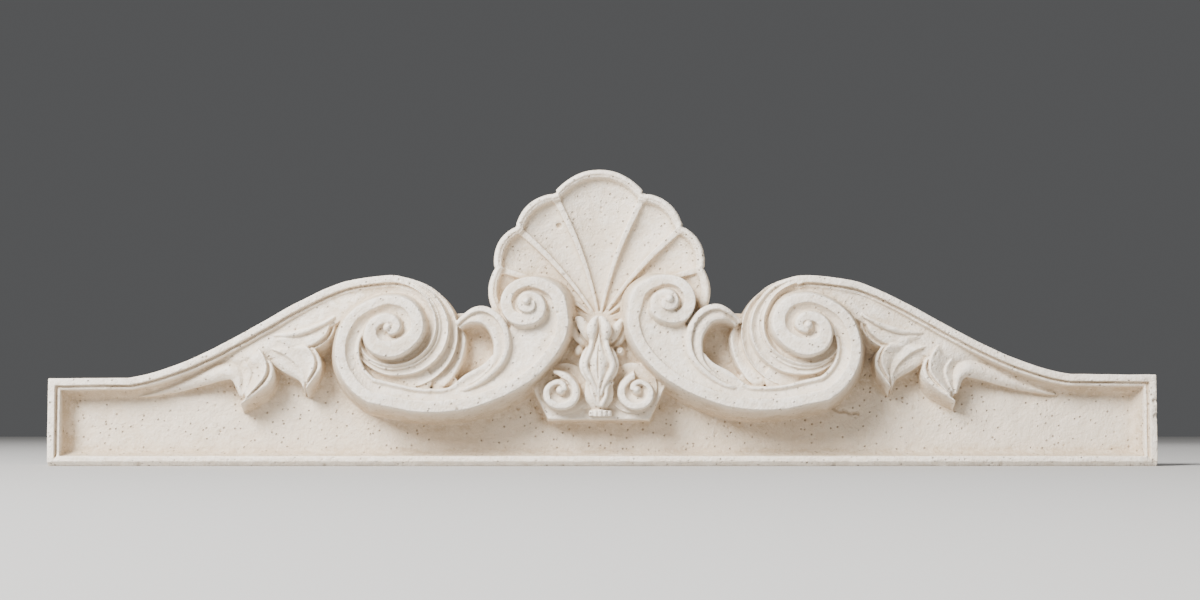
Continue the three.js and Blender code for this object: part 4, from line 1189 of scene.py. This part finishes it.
    def bed(self) -> Body:
        """The ground behind the bud: a shallow mound that joins the plinth to the shell.

        Returns:
            The closed mound.
        """
        z = np.linspace(self.bed_places[0], self.bed_places[-1], 40)
        half = np.interp(z, self.bed_places, self.bed_halves)
        front = np.interp(z, self.bed_front_places, self.bed_fronts)
        return loft(self.mound(self.centre, z, half, front, 10))

    def pair_rows(self, degrees: Array) -> Array:
        """One small volute, rolled from its start in to the eye.

        Its inner edge hides under the next turn in.

        Args:
            degrees: Angles from the start, falling inwards.

        Returns:
            The grid of rows.
        """
        at = (135 - degrees) / 45
        radius = along(self.pair_radii, at)
        last = at > 2.6
        next_turn = along(self.pair_radii, np.minimum(at + 8, 11)) - 1
        tucked = np.where(last, self.pair_eye * 0.4, next_turn)
        tucked = mix(radius - 4, tucked, ease((self.pair_starts[0] - degrees) / 50))
        height = self.pair_front + at * 0.5
        centre = (-self.pair_x, self.pair_z)
        return self.cut.rows(
            polar(centre, radius, degrees, 0)[:, :2], polar(centre, tucked, degrees, 0)[:, :2],
            radius * mix(0.3, 0.62, ease((at - 8) / 2)), height, np.where(last, 1.5, 5.0),
            height - np.where(last, 8, 26), 0 * at,
        )

    def volutes(self) -> list[Body]:
        """The pair of volutes; the start of the right one is broken off short.

        Returns:
            The closed bodies of both volutes and their eyes.
        """
        out = []
        for side, start in zip((-1, 1), self.pair_starts):
            for a, b in ((start, -100), (-100, -360)):
                rows = self.pair_rows(np.linspace(a, b, 70))
                rows = np.stack([self.centre - side * rows[..., 0], rows[..., 1], rows[..., 2]], -1)
                out.append(loft(rows))
            x = self.centre + side * self.pair_x
            low, high = self.pair_front - 7, self.pair_front + 7
            out.append(disc(x, self.pair_z, self.pair_eye * 1.5, self.pair_front - 15))
            out.append(knob(x, self.pair_z, self.pair_eye, self.pair_eye, low, high))
        return out

    def bud(self) -> list[Body]:
        """The bud: a veined pod over a core, with the strands and petals that clasp it.

        The pod's height falls from its front by each vein's depth, and by 0.3 of what its half
        width lacks of 11 mm.

        Returns:
            The closed bodies.
        """
        middle = self.centre + self.lean
        z = np.linspace(self.pod_places[-1], self.pod_places[0], 70)
        half = np.interp(z, self.pod_places, self.pod_halves)
        veined = [column(middle + half * share, z, self.pod_front - depth - (11 - half) * 0.3)
                  for share, depth in self.pod_veins]
        out = [loft(np.stack(veined, axis=1), ROOT)]
        z = np.linspace(self.core_places[-1], self.core_places[0], 70)
        half = np.interp(z, self.core_places, self.core_halves)
        front = np.interp(z, self.core_front_places, self.core_fronts)
        out.append(loft(self.mound(middle, z, half, front, 5), ROOT))
        out += [strip.body(middle, side) for side in (-1, 1) for strip in self.paired]
        return out + [strip.body(middle) for strip in self.single]

    def sprigs(self) -> list[Body]:
        """The side leaves, the balls below them and the ribbed collar at the bud's foot.

        Returns:
            The closed bodies.
        """
        out = [strip.body(0.0) for strip in self.side_leaves]
        out += [knob(*ball) for ball in self.balls]
        for turn in np.linspace(-0.8, 0.8, self.collar_ribs):
            top = (11.5 * turn, 60.4 - abs(turn))
            foot = (12.4 * turn, 53.4 + 0.6 * abs(turn))
            fall = 5 * turn**2
            rib = Strip((top, foot), (5.4, 5.6), (75.5 - fall, 74.5 - fall), 2.6, 12)
            out.append(rib.body(self.collar_x))
        return out

    def bodies(self) -> list[Body]:
        """Everything between and under the two scrolls.

        Returns:
            The closed bodies.
        """
        out = [self.plinth(), self.bed()]
        for side in (-1, 1):
            x = self.centre + side * self.disc_x
            out.append(disc(x, self.disc_z, self.disc_radius, self.disc_front))
        return out + self.volutes() + self.bud() + self.sprigs()


# Wear, pits and breaks, kept as maps over the face


@dataclass
class FaceMap:
    """A picture of one value over the carved face, on a square grid of x and z."""

    pitch: float = 1.0
    left: float = -610.0
    bottom: float = -10.0
    columns: int = 1220
    rows: int = 345

    def blank(self) -> Array:
        """A map filled with zeros."""
        return np.zeros((self.rows, self.columns))

    def index(self, x: Array, z: Array) -> tuple[Array, Array]:
        """The row and column of a place, held inside the map.

        Args:
            x: Places along the wall.
            z: Places up the wall.

        Returns:
            Row and column numbers.
        """
        i = np.clip(((z - self.bottom) / self.pitch).astype(int), 0, self.rows - 1)
        j = np.clip(((x - self.left) / self.pitch).astype(int), 0, self.columns - 1)
        return i, j

    def read(self, values: Array, x: Array, z: Array) -> Array:
        """The map's value at each place, smoothly between its cells.

        The four nearest cells count by how near their middles are.

        Args:
            values: A map.
            x: Places along the wall.
            z: Places up the wall.

        Returns:
            One value for each place.
        """
        u = np.clip((x - self.left) / self.pitch - 0.5, 0, self.columns - 1.001)
        v = np.clip((z - self.bottom) / self.pitch - 0.5, 0, self.rows - 1.001)
        j, i = u.astype(int), v.astype(int)
        s, t = u - j, v - i
        j1, i1 = np.minimum(j + 1, self.columns - 1), np.minimum(i + 1, self.rows - 1)
        low = values[i, j] * (1 - s) + values[i, j1] * s
        high = values[i1, j] * (1 - s) + values[i1, j1] * s
        return low * (1 - t) + high * t

    def relief(self, points: Array) -> Array:
        """The greatest height over each cell of the face, from a skin's points.

        Args:
            points: Points (x, z, h) in millimetres.

        Returns:
            A map of heights.
        """
        heights = self.blank()
        i, j = self.index(points[:, 0], points[:, 1])
        np.maximum.at(heights, (i, j), points[:, 2])
        return heights

    def blurred(self, values: Array, radius: float) -> Array:
        """The map averaged with a bell of the given radius, through its Fourier transform.

        Args:
            values: A map.
            radius: The bell's standard deviation.

        Returns:
            The averaged map.
        """
        pad = int(3 * radius)
        wide = np.pad(values, pad, mode="edge")
        fi = np.fft.fftfreq(wide.shape[0])[:, None]
        fj = np.fft.rfftfreq(wide.shape[1])[None, :]
        bell = np.exp(-2 * (np.pi * radius / self.pitch) ** 2 * (fi**2 + fj**2))
        return np.fft.irfft2(np.fft.rfft2(wide) * bell, s=wide.shape)[pad:-pad, pad:-pad]


@dataclass
class Wear:
    """The stone's small losses: hollows struck out of the face, each (x, z, radius, depth)."""

    seed: int = 11
    pit_count: int = 260
    pit_radii: tuple[float, float] = (0.9, 1.7)
    pit_depths: tuple[float, float] = (0.8, 1.8)
    known: tuple = (
        (-46.9, 260.9, 3.4, 3.0), (-72, 64, 2.2, 2.4), (-67, 57, 1.8, 2), (-62, 62, 1.6, 2),
        (-65, 52, 1.6, 2), (-92, 62.7, 2.4, 2.6), (18.8, 123.6, 1.5, 3), (597, 70.3, 3, 3),
        (598, 54, 3.6, 2.5),
        (-562, 80, 1.6, 1.8), (-417, 37, 1.5, 2), (-532, 84, 1.2, 1.4), (-423, 65, 1.3, 1.5),
        (-500, 2, 3, 2), (-300, 1, 2.4, 2), (250, 1, 3, 2), (430, 2, 2.6, 2),
    )
    crack: tuple = ((250.8, 64.2), (254, 61.5), (259.5, 58.7), (264, 59.5), (270, 57.2), (276, 57.8),
                    (280, 57.2))
    crack_spots: int = 46
    crack_radii: tuple[float, float] = (1.1, 2.1)
    crack_depths: tuple[float, float] = (1.8, 3.2)
    pit_x: tuple[float, float] = (-590.0, 590.0)
    pit_z: tuple[float, float] = (8.0, 300.0)
    wave_count: int = 9

    def waves(self, points: Array, length: float, seed: int) -> Array:
        """A soft uneven value from -1 to 1: sines of one wavelength in seeded directions.

        Args:
            points: Points (x, z, h).
            length: The wavelength.
            seed: Seed of the directions and phases.

        Returns:
            One value for each point.
        """
        draw = np.random.default_rng(seed)
        ways = draw.normal(size=(self.wave_count, 3))
        ways /= np.linalg.norm(ways, axis=1)[:, None]
        phases = draw.uniform(0, 2 * np.pi, self.wave_count)
        total = np.zeros(len(points))
        for way, phase in zip(ways, phases):
            total += np.sin(points @ way * (2 * np.pi / length) + phase)
        return total / math.sqrt(self.wave_count)

    def losses(self, chart: FaceMap) -> Array:
        """The depth of stone lost over the face: seeded pits, known holes and the crack.

        Each spot is a bowl: its depth goes with the 0.6 power of one less the squared share of
        its radius, and the deepest spot wins.

        Args:
            chart: The map of the face.

        Returns:
            Depths in millimetres on the map's grid.
        """
        draw = np.random.default_rng(self.seed)
        count = self.pit_count
        ranges = (self.pit_x, self.pit_z, self.pit_radii, self.pit_depths)
        places = np.stack([draw.uniform(*span, count) for span in ranges], -1)
        line = curve(self.crack, np.linspace(0, 1, self.crack_spots))
        ragged = line + draw.normal(scale=0.5, size=line.shape)
        cracks = np.column_stack([ragged, draw.uniform(*self.crack_radii, self.crack_spots),
                                  draw.uniform(*self.crack_depths, self.crack_spots)])
        spots = np.concatenate([places, np.array(self.known, float), cracks])
        lost = chart.blank()
        reach = np.arange(-6, 7)
        di, dj = np.meshgrid(reach, reach, indexing="ij")
        i, j = chart.index(spots[:, 0], spots[:, 1])
        rows = np.clip(i[:, None, None] + di, 0, chart.rows - 1)
        cols = np.clip(j[:, None, None] + dj, 0, chart.columns - 1)
        away = np.hypot((cols + 0.5) * chart.pitch + chart.left - spots[:, 0, None, None],
                        (rows + 0.5) * chart.pitch + chart.bottom - spots[:, 1, None, None])
        share = np.clip(1 - (away / spots[:, 2, None, None]) ** 2, 0, 1)
        np.maximum.at(lost, (rows, cols), spots[:, 3, None, None] * share**0.6)
        return lost


# Shader maths


class Socket:
    """One output of a node, with the operators that add Math nodes."""

    def __init__(self, tree: bpy.types.NodeTree, output: bpy.types.NodeSocket) -> None:
        """Wraps an output of a tree's node."""
        self.tree = tree
        self.output = output

    def _math(self, operation: str, first: "Socket | float", second: "Socket | float") -> "Socket":
        """A Math node with its two inputs linked or set.

        Args:
            operation: The Math node's operation.
            first: Its first input.
            second: Its second input.

        Returns:
            The node's result.
        """
        node = self.tree.nodes.new("ShaderNodeMath")
        node.operation = operation
        for slot, value in zip(node.inputs, (first, second)):
            if isinstance(value, Socket):
                self.tree.links.new(value.output, slot)
            else:
                slot.default_value = value
        return Socket(self.tree, node.outputs[0])

    def __add__(self, other: "Socket | float") -> "Socket":
        """self + other."""
        return self._math("ADD", self, other)

    def __radd__(self, other: float) -> "Socket":
        """other + self."""
        return self._math("ADD", other, self)

    def __sub__(self, other: "Socket | float") -> "Socket":
        """self - other."""
        return self._math("SUBTRACT", self, other)

    def __rsub__(self, other: float) -> "Socket":
        """other - self."""
        return self._math("SUBTRACT", other, self)

    def __mul__(self, other: "Socket | float") -> "Socket":
        """self times other."""
        return self._math("MULTIPLY", self, other)

    def __rmul__(self, other: float) -> "Socket":
        """other times self."""
        return self._math("MULTIPLY", other, self)

    def at_most(self, other: float) -> "Socket":
        """The smaller of the two."""
        return self._math("MINIMUM", self, other)


@dataclass
class Shader:
    """A material's node tree, built through a few short calls."""

    tree: bpy.types.NodeTree

    def node(self, kind: str, settings: dict | None = None, inputs: dict | None = None,
             output: int | str = 0) -> Socket:
        """Adds a node.

        Args:
            kind: The node's type.
            settings: Attributes set first.
            inputs: Values or sockets by input name or number.
            output: The output to wrap.

        Returns:
            The wrapped output.
        """
        made = self.tree.nodes.new(kind)
        for name, value in (settings or {}).items():
            setattr(made, name, value)
        for name, value in (inputs or {}).items():
            if isinstance(value, Socket):
                self.tree.links.new(value.output, made.inputs[name])
            else:
                made.inputs[name].default_value = value
        return Socket(self.tree, made.outputs[output])

    def band(self, value: Socket, low: float, high: float) -> Socket:
        """The value's smooth rise from 0 at low to 1 at high."""
        return self.node("ShaderNodeMapRange", {"interpolation_type": "SMOOTHSTEP"},
                         {"Value": value, "From Min": low, "From Max": high})

    def noise(self, place: Socket, scale: float, detail: float = 3.0, rough: float = 0.5) -> Socket:
        """Fractal noise about 0.5, with its scale in cycles a metre."""
        return self.node("ShaderNodeTexNoise", {"noise_dimensions": "3D"},
                         {"Vector": place, "Scale": scale, "Detail": detail, "Roughness": rough})

    def blend(self, factor: Socket, first: Socket | tuple, second: Socket | tuple) -> Socket:
        """Two colours mixed by a factor, through the Mix node's colour inputs and output."""
        return self.node("ShaderNodeMix", {"data_type": "RGBA"}, {0: factor, 6: first, 7: second}, 2)

    def cells(self, place: Socket, scale: float) -> tuple[Socket, Socket, Socket]:
        """Scattered cells: the distance to the nearest centre, and two chance values of its own.

        Args:
            place: The coordinates.
            scale: Cells a metre.

        Returns:
            The distance and the two chance values.
        """
        inputs = {"Vector": place, "Scale": scale, "Randomness": 1.0}
        near = self.node("ShaderNodeTexVoronoi", {"feature": "F1"}, inputs, "Distance")
        chance = self.node("ShaderNodeTexVoronoi", {"feature": "F1"}, inputs, "Color")
        parts = [self.node("ShaderNodeSeparateColor", None, {"Color": chance}, k) for k in (0, 1)]
        return near, parts[0], parts[1]


def rgb(red: float, green: float, blue: float) -> tuple[float, float, float, float]:
    """A colour with full alpha."""
    return (red, green, blue, 1.0)


@dataclass(frozen=True)
class Limestone:
    """Honed cream shelly limestone: pale body, beige patina and painted shade in recesses, painted
    highlights on arrises, brown pores.
    """

    body: tuple = rgb(0.8, 0.703, 0.585)
    pale: tuple = rgb(0.89, 0.82, 0.722)
    warm: tuple = rgb(0.71, 0.6, 0.47)
    # Colour of the patina and painted shade laid into hollows, creases and walls turned from the front.
    patina_and_shade_colour: tuple = rgb(0.53, 0.42, 0.295)
    pore: tuple = rgb(0.27, 0.19, 0.12)
    roughness: float = 0.78
    cloud_scale: float = 14.0
    mottle_scale: float = 75.0
    fleck_scale: float = 190.0
    grain_scale: float = 420.0
    pore_scale: float = 170.0
    pore_chance: tuple[float, float] = (0.42, 0.46)
    pore_edge: tuple[float, float] = (0.09, 0.23)
    hole_scale: float = 95.0
    hole_chance: tuple[float, float] = (0.93, 0.95)
    hole_edge: tuple[float, float] = (0.05, 0.13)
    mottle_share: float = 0.7
    fleck_share: float = 0.45
    # How strongly the recess value paints patina and shade.
    patina_and_shade_share: float = 1.1
    # How strongly the arris value paints a highlight on the edges.
    arris_highlight_share: float = 0.55
    grain_share: float = 0.5
    dark_fleck_share: float = 0.55
    bump_depth: float = 0.0015

    def build(self) -> bpy.types.Material:
        """The stone's material.

        Warm clouds and pale mottling lie on the body colour, then patina and painted shade by the
        recess value and a painted highlight by the arris value, then grain, flecks, pores and a
        few larger holes. The bump adds mottling, flecks and grain and takes off the pores.

        Returns:
            The material.
        """
        material = bpy.data.materials.new("limestone")
        material.use_nodes = True
        tree = material.node_tree
        tree.nodes.clear()
        s = Shader(tree)
        place = s.node("ShaderNodeTexCoord", output="Object")
        # Two painted-light attributes: recess paints patina and shade, arris paints a highlight on the
        # edges.
        recess = s.node("ShaderNodeAttribute", {"attribute_name": "recess"}, output="Fac")
        edge = s.node("ShaderNodeAttribute", {"attribute_name": "arris"}, output="Fac")
        clouds = s.noise(place, self.cloud_scale, 4, 0.55)
        mottle = s.noise(place, self.mottle_scale, 5, 0.6)
        grain = s.noise(place, self.grain_scale, 3, 0.6)
        flecks = s.noise(place, self.fleck_scale, 2, 0.5)
        colour = s.blend(s.band(clouds, 0.38, 0.64), self.body, self.warm)
        colour = s.blend(s.band(mottle, 0.46, 0.6) * self.mottle_share, colour, self.pale)
        colour = s.blend(s.band(flecks, 0.56, 0.66) * self.fleck_share, colour, self.pale)
        # Painted shade with patina: hollows, creases, deep cuts and walls turned from the front are
        # darkened.
        patina_and_shade = (recess * (0.5 + s.band(mottle, 0.35, 0.7) * 0.5)).at_most(1.0)
        colour = s.blend(patina_and_shade * self.patina_and_shade_share, colour, self.patina_and_shade_colour)
        # Painted highlight: points standing over their surroundings are lightened towards the pale
        # colour.
        colour = s.blend(edge * self.arris_highlight_share, colour, self.pale)
        colour = s.blend(s.band(grain, 0.52, 0.64) * self.grain_share, colour, self.warm)
        dark_flecks = s.band(1 - flecks, 0.56, 0.68) * self.dark_fleck_share
        colour = s.blend(dark_flecks, colour, self.warm)
        near, chance, size = s.cells(place, self.pore_scale)
        chosen = s.band(chance, *self.pore_chance)
        ragged = near + (grain - 0.5) * 0.2
        pores = (1 - s.band(ragged, *self.pore_edge)) * chosen * (0.35 + size * 0.65)
        near, chance, _ = s.cells(place, self.hole_scale)
        ragged = near + (grain - 0.5) * 0.12
        holes = (1 - s.band(ragged, *self.hole_edge)) * s.band(chance, *self.hole_chance)
        dark = (pores * 0.75 + holes * 0.9).at_most(1.0)
        colour = s.blend(dark, colour, self.pore)
        relief = (mottle - 0.5) * 1.1 + (flecks - 0.5) * 0.6 + (grain - 0.5) * 0.6 - dark * 1.6
        normal = s.node("ShaderNodeBump", None,
                        {"Strength": 1.0, "Distance": self.bump_depth, "Height": relief})
        rough = self.roughness + (grain - 0.5) * 0.25
        skin = s.node("ShaderNodeBsdfPrincipled", None,
                      {"Base Color": colour, "Roughness": rough, "Normal": normal, "IOR": 1.45})
        end = tree.nodes.new("ShaderNodeOutputMaterial")
        tree.links.new(skin.output, end.inputs["Surface"])
        return material


@dataclass(frozen=True)
class PatinaAndShade:
    """Where patina and painted shade gather, and where the painted arris highlight lies: each depth in
    millimetres, with the share that it gives.
    """

    close_radius: float = 2.5
    close_depth: float = 2.4
    close_share: float = 0.7
    wide_radius: float = 13.0
    wide_start: float = 3.0
    wide_depth: float = 14.0
    wide_share: float = 0.85
    cut_front: float = 64.0
    cut_depth: float = 28.0
    cut_share: float = 0.52
    # Painted shade on walls that turn away from the front.
    steep_shade_share: float = 0.34
    back_loss: float = 0.7
    loss_depth: float = 1.6
    most: float = 1.2
    # Height over the close average at which the painted arris highlight is full.
    arris_height: float = 1.8


@dataclass
class Stone:
    """The finished block: all forms fused into one skin, worn and dressed."""

    voxel: float = 0.78
    triangles: int = 190_000
    unevenness: tuple = ((0.22, 34.0, 3), (0.1, 11.0, 4))
    lift_wave: tuple[float, float, int] = (0.12, 27.0, 5)
    patina_and_shade_rule: PatinaAndShade = field(default_factory=PatinaAndShade)
    chart: FaceMap = field(default_factory=FaceMap)
    wear: Wear = field(default_factory=Wear)
    finish: Limestone = field(default_factory=Limestone)

    @staticmethod
    def mesh_of(name: str, points: Array, triangles: Array) -> bpy.types.Mesh:
        """A Blender mesh from points in metres and triangles.

        Args:
            name: The mesh's name.
            points: Points in metres.
            triangles: Triangles by point number.

        Returns:
            The mesh.
        """
        mesh = bpy.data.meshes.new(name)
        mesh.vertices.add(len(points))
        mesh.vertices.foreach_set("co", points.astype(np.float32).ravel())
        mesh.loops.add(triangles.size)
        mesh.loops.foreach_set("vertex_index", triangles.astype(np.int32).ravel())
        mesh.polygons.add(len(triangles))
        mesh.polygons.foreach_set("loop_start", np.arange(0, triangles.size, 3, dtype=np.int32))
        mesh.update(calc_edges=True)
        mesh.validate()
        return mesh

    @staticmethod
    def through(mesh: bpy.types.Mesh, steps: Callable[[bpy.types.Object], None]) -> bpy.types.Mesh:
        """The mesh after the modifiers that the steps add.

        Args:
            mesh: The mesh, which is used up.
            steps: Adds modifiers to an object.

        Returns:
            The changed mesh.
        """
        holder = bpy.data.objects.new("holder", mesh)
        bpy.context.scene.collection.objects.link(holder)
        steps(holder)
        graph = bpy.context.evaluated_depsgraph_get()
        out = bpy.data.meshes.new_from_object(holder.evaluated_get(graph))
        bpy.data.objects.remove(holder)
        bpy.data.meshes.remove(mesh)
        return out

    @staticmethod
    def coordinates(mesh: bpy.types.Mesh) -> Array:
        """The mesh's points as an array.

        Args:
            mesh: The mesh.

        Returns:
            Points in metres.
        """
        flat = np.empty(len(mesh.vertices) * 3, dtype=np.float32)
        mesh.vertices.foreach_get("co", flat)
        return flat.reshape(-1, 3).astype(float)

    @staticmethod
    def face_points(space: Array) -> Array:
        """Blender's points in metres as carving coordinates (x, z, h) in millimetres."""
        return np.stack([space[:, 0] / MM, space[:, 2] / MM, DEPTH / 2 - space[:, 1] / MM], -1)

    def fuse(self, bodies: list[Body]) -> bpy.types.Mesh:
        """One closed skin round all bodies, relaxed so that its arrises are worn round.

        Args:
            bodies: The closed bodies.

        Returns:
            The skin.
        """
        starts = np.cumsum([0] + [len(body.points) for body in bodies[:-1]])
        points = np.concatenate([to_space(body.points) for body in bodies])
        triangles = np.concatenate([body.triangles + start for body, start in zip(bodies, starts)])

        def steps(holder: bpy.types.Object) -> None:
            """A voxel skin, then a light relaxing."""
            skin = holder.modifiers.new("skin", "REMESH")
            skin.mode = "VOXEL"
            skin.voxel_size = self.voxel * MM
            soft = holder.modifiers.new("soft", "SMOOTH")
            soft.factor = 0.5
            soft.iterations = 1

        return self.through(self.mesh_of("rough", points, triangles), steps)

    def weather(self, mesh: bpy.types.Mesh) -> None:
        """Moves the skin's points by the tool's unevenness and the stone's losses.

        Points are pushed in by the loss and out by two soft waves, and up by a third. Nothing
        moves at the flat back, nor up at the underside.

        Args:
            mesh: The skin, changed in place.
        """
        space = self.coordinates(mesh)
        face = self.face_points(space)
        front = ease((face[:, 2] - 3) / 6)
        uneven = sum(size * self.wear.waves(face, length, seed)
                     for size, length, seed in self.unevenness)
        lost = self.chart.read(self.wear.losses(self.chart), face[:, 0], face[:, 1])
        space[:, 1] += (lost - uneven) * front * MM
        size, length, seed = self.lift_wave
        off_ground = np.clip(face[:, 1] / 6, 0, 1)
        space[:, 2] += size * self.wear.waves(face, length, seed) * front * MM * off_ground
        mesh.vertices.foreach_set("co", space.astype(np.float32).ravel())
        mesh.update()

    def thin(self, mesh: bpy.types.Mesh) -> bpy.types.Mesh:
        """The same skin of four-sided cells as fewer triangles, most of them where it curves.

        Args:
            mesh: The skin, which is used up.

        Returns:
            The thinned skin.
        """
        count = 2 * len(mesh.polygons)

        def steps(holder: bpy.types.Object) -> None:
            """Collapses edges down to the number of triangles."""
            fewer = holder.modifiers.new("fewer", "DECIMATE")
            fewer.ratio = min(1.0, self.triangles / count)
            split = holder.modifiers.new("split", "TRIANGULATE")
            split.quad_method = "BEAUTY"

        return self.through(mesh, steps)

    def mark(self, mesh: bpy.types.Mesh, relief: Array) -> None:
        """Stores how recessed and how exposed each point is.

        The recess, which the material paints as patina and shade, adds how far a point lies under
        the relief's close average, how far under its wide average, how deep it is cut and how
        steeply it turns from the front. It is less on the back and at least the share of a pit
        or crack. The arris value, painted as a highlight, is how far a point stands over the
        close average.

        Args:
            mesh: The thinned skin, changed in place.
            relief: The greatest height over each cell of the face.
        """
        face = self.face_points(self.coordinates(mesh))
        chart, rule = self.chart, self.patina_and_shade_rule
        x, z, h = face.T
        close = chart.read(chart.blurred(relief, rule.close_radius), x, z) - h
        wide = chart.read(chart.blurred(relief, rule.wide_radius), x, z) - h
        normals = np.empty(len(mesh.vertices) * 3, dtype=np.float32)
        mesh.vertex_normals.foreach_get("vector", normals)
        backward = normals.reshape(-1, 3)[:, 1]
        # Painted shade: walls turned from the front darken as though in shade.
        steep = np.clip(1 + backward - 0.05, 0, 1)
        behind = np.clip(backward * 2, 0, 1)
        recess = (np.clip(close / rule.close_depth, 0, 1) * rule.close_share
                  + np.clip((wide - rule.wide_start) / rule.wide_depth, 0, 1) * rule.wide_share
                  + np.clip((rule.cut_front - h) / rule.cut_depth, 0, 1) * rule.cut_share
                  + steep * rule.steep_shade_share) * (1 - rule.back_loss * behind)
        lost = chart.read(self.wear.losses(chart), x, z)
        recess = np.maximum(recess, np.clip(lost / rule.loss_depth, 0, 1) * rule.most)
        # Painted highlight: how far a point stands over the close average, lightened in the material.
        arris = np.clip(-close / rule.arris_height, 0, 1)
        for name, values in (("recess", np.clip(recess, 0, rule.most)), ("arris", arris)):
            layer = mesh.attributes.new(name, "FLOAT", "POINT")
            layer.data.foreach_set("value", values.astype(np.float32))

    def build(self, bodies: list[Body]) -> bpy.types.Object:
        """Fuses, weathers, thins and dresses the block.

        Args:
            bodies: The closed bodies of all forms.

        Returns:
            The finished piece.
        """
        skin = self.fuse(bodies)
        log.info("skin: %d faces", len(skin.polygons))
        self.weather(skin)
        relief = self.chart.relief(self.face_points(self.coordinates(skin)))
        mesh = self.thin(skin)
        self.mark(mesh, relief)
        mesh.name = "PedimentStone"
        mesh.polygons.foreach_set("use_smooth", np.ones(len(mesh.polygons), dtype=bool))
        mesh.materials.clear()
        mesh.materials.append(self.finish.build())
        piece = bpy.data.objects.new("PedimentStone", mesh)
        bpy.context.scene.collection.objects.link(piece)
        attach(piece, "root")
        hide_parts("pediment")
        log.info("piece: %d triangles", len(mesh.polygons))
        return piece


# The setting


@dataclass(frozen=True)
class Studio:
    """A plain pale floor, soft light from the upper left and a camera at the viewer's place."""

    floor_colour: tuple = rgb(0.44, 0.43, 0.415)
    sky: tuple = rgb(0.80, 0.81, 0.83)
    sky_strength: float = 0.12
    camera_place: tuple[float, float, float] = (-0.0025, -2.1675, 0.0432)
    camera_tilt: float = 93.605
    lens: float = 60.0
    target: tuple[float, float, float] = (0.0, 0.0, 0.15)
    lamps: tuple = (
        ("Key", (-2.4, -3.0, 2.8), 2.0, 800.0),
        ("Fill", (1.4, -2.8, 0.9), 2.2, 6.0),
        ("Back", (0.6, 2.2, 1.8), 1.6, 20.0),
    )
    half_floor: float = 6.0

    def floor(self) -> bpy.types.Object:
        """The floor: a wide flat sheet just under the block.

        Returns:
            The floor, which isn't part of the object.
        """
        half = self.half_floor
        corners = [(-half, -half, 0), (half, -half, 0), (half, half, 0), (-half, half, 0)]
        mesh = bpy.data.meshes.new("Floor")
        mesh.from_pydata(corners, [], [(0, 1, 2, 3)])
        material = bpy.data.materials.new("floor")
        material.use_nodes = True
        skin = material.node_tree.nodes["Principled BSDF"]
        skin.inputs["Base Color"].default_value = self.floor_colour
        skin.inputs["Roughness"].default_value = 0.9
        mesh.materials.append(material)
        obj = bpy.data.objects.new("Floor", mesh)
        bpy.context.scene.collection.objects.link(obj)
        return obj

    def lamp(self, name: str, place: tuple[float, float, float], size: float, power: float) -> None:
        """A square soft light aimed at the block.

        Args:
            name: The lamp's name.
            place: Where it stands.
            size: The length of its side.
            power: Its power in watts.
        """
        light = bpy.data.lights.new(name, "AREA")
        light.size = size
        light.energy = power
        obj = bpy.data.objects.new(name, light)
        obj.location = place
        obj.rotation_euler = (Vector(self.target) - Vector(place)).to_track_quat("-Z", "Y").to_euler()
        bpy.context.scene.collection.objects.link(obj)

    def camera(self) -> None:
        """The camera, level with the block's middle and tilted slightly up."""
        data = bpy.data.cameras.new("Camera")
        data.lens = self.lens
        data.sensor_width = 36
        data.clip_start = 0.05
        obj = bpy.data.objects.new("Camera", data)
        obj.location = self.camera_place
        obj.rotation_euler = (math.radians(self.camera_tilt), 0, 0)
        bpy.context.scene.collection.objects.link(obj)
        bpy.context.scene.camera = obj

    def build(self) -> None:
        """Floor, sky, lights and camera."""
        self.floor()
        world = bpy.data.worlds.new("World")
        world.use_nodes = True
        sky = world.node_tree.nodes["Background"]
        sky.inputs[0].default_value = self.sky
        sky.inputs[1].default_value = self.sky_strength
        bpy.context.scene.world = world
        for lamp in self.lamps:
            self.lamp(*lamp)
        self.camera()


def main() -> None:
    """Builds every form in order, fuses them into the stone and sets the studio."""
    logging.basicConfig(level=logging.INFO, format="%(message)s")
    forms = (Frame(), Scroll(), Conch(), Curl(), Scallop(), Leaf(), Fleuron())
    bodies: list[Body] = []
    for form in forms:
        made = form.bodies()
        log.info("%s: %d bodies", type(form).__name__, len(made))
        bodies += made
    Stone().build(bodies)
    Studio().build()


if __name__ == "__main__":
    main()
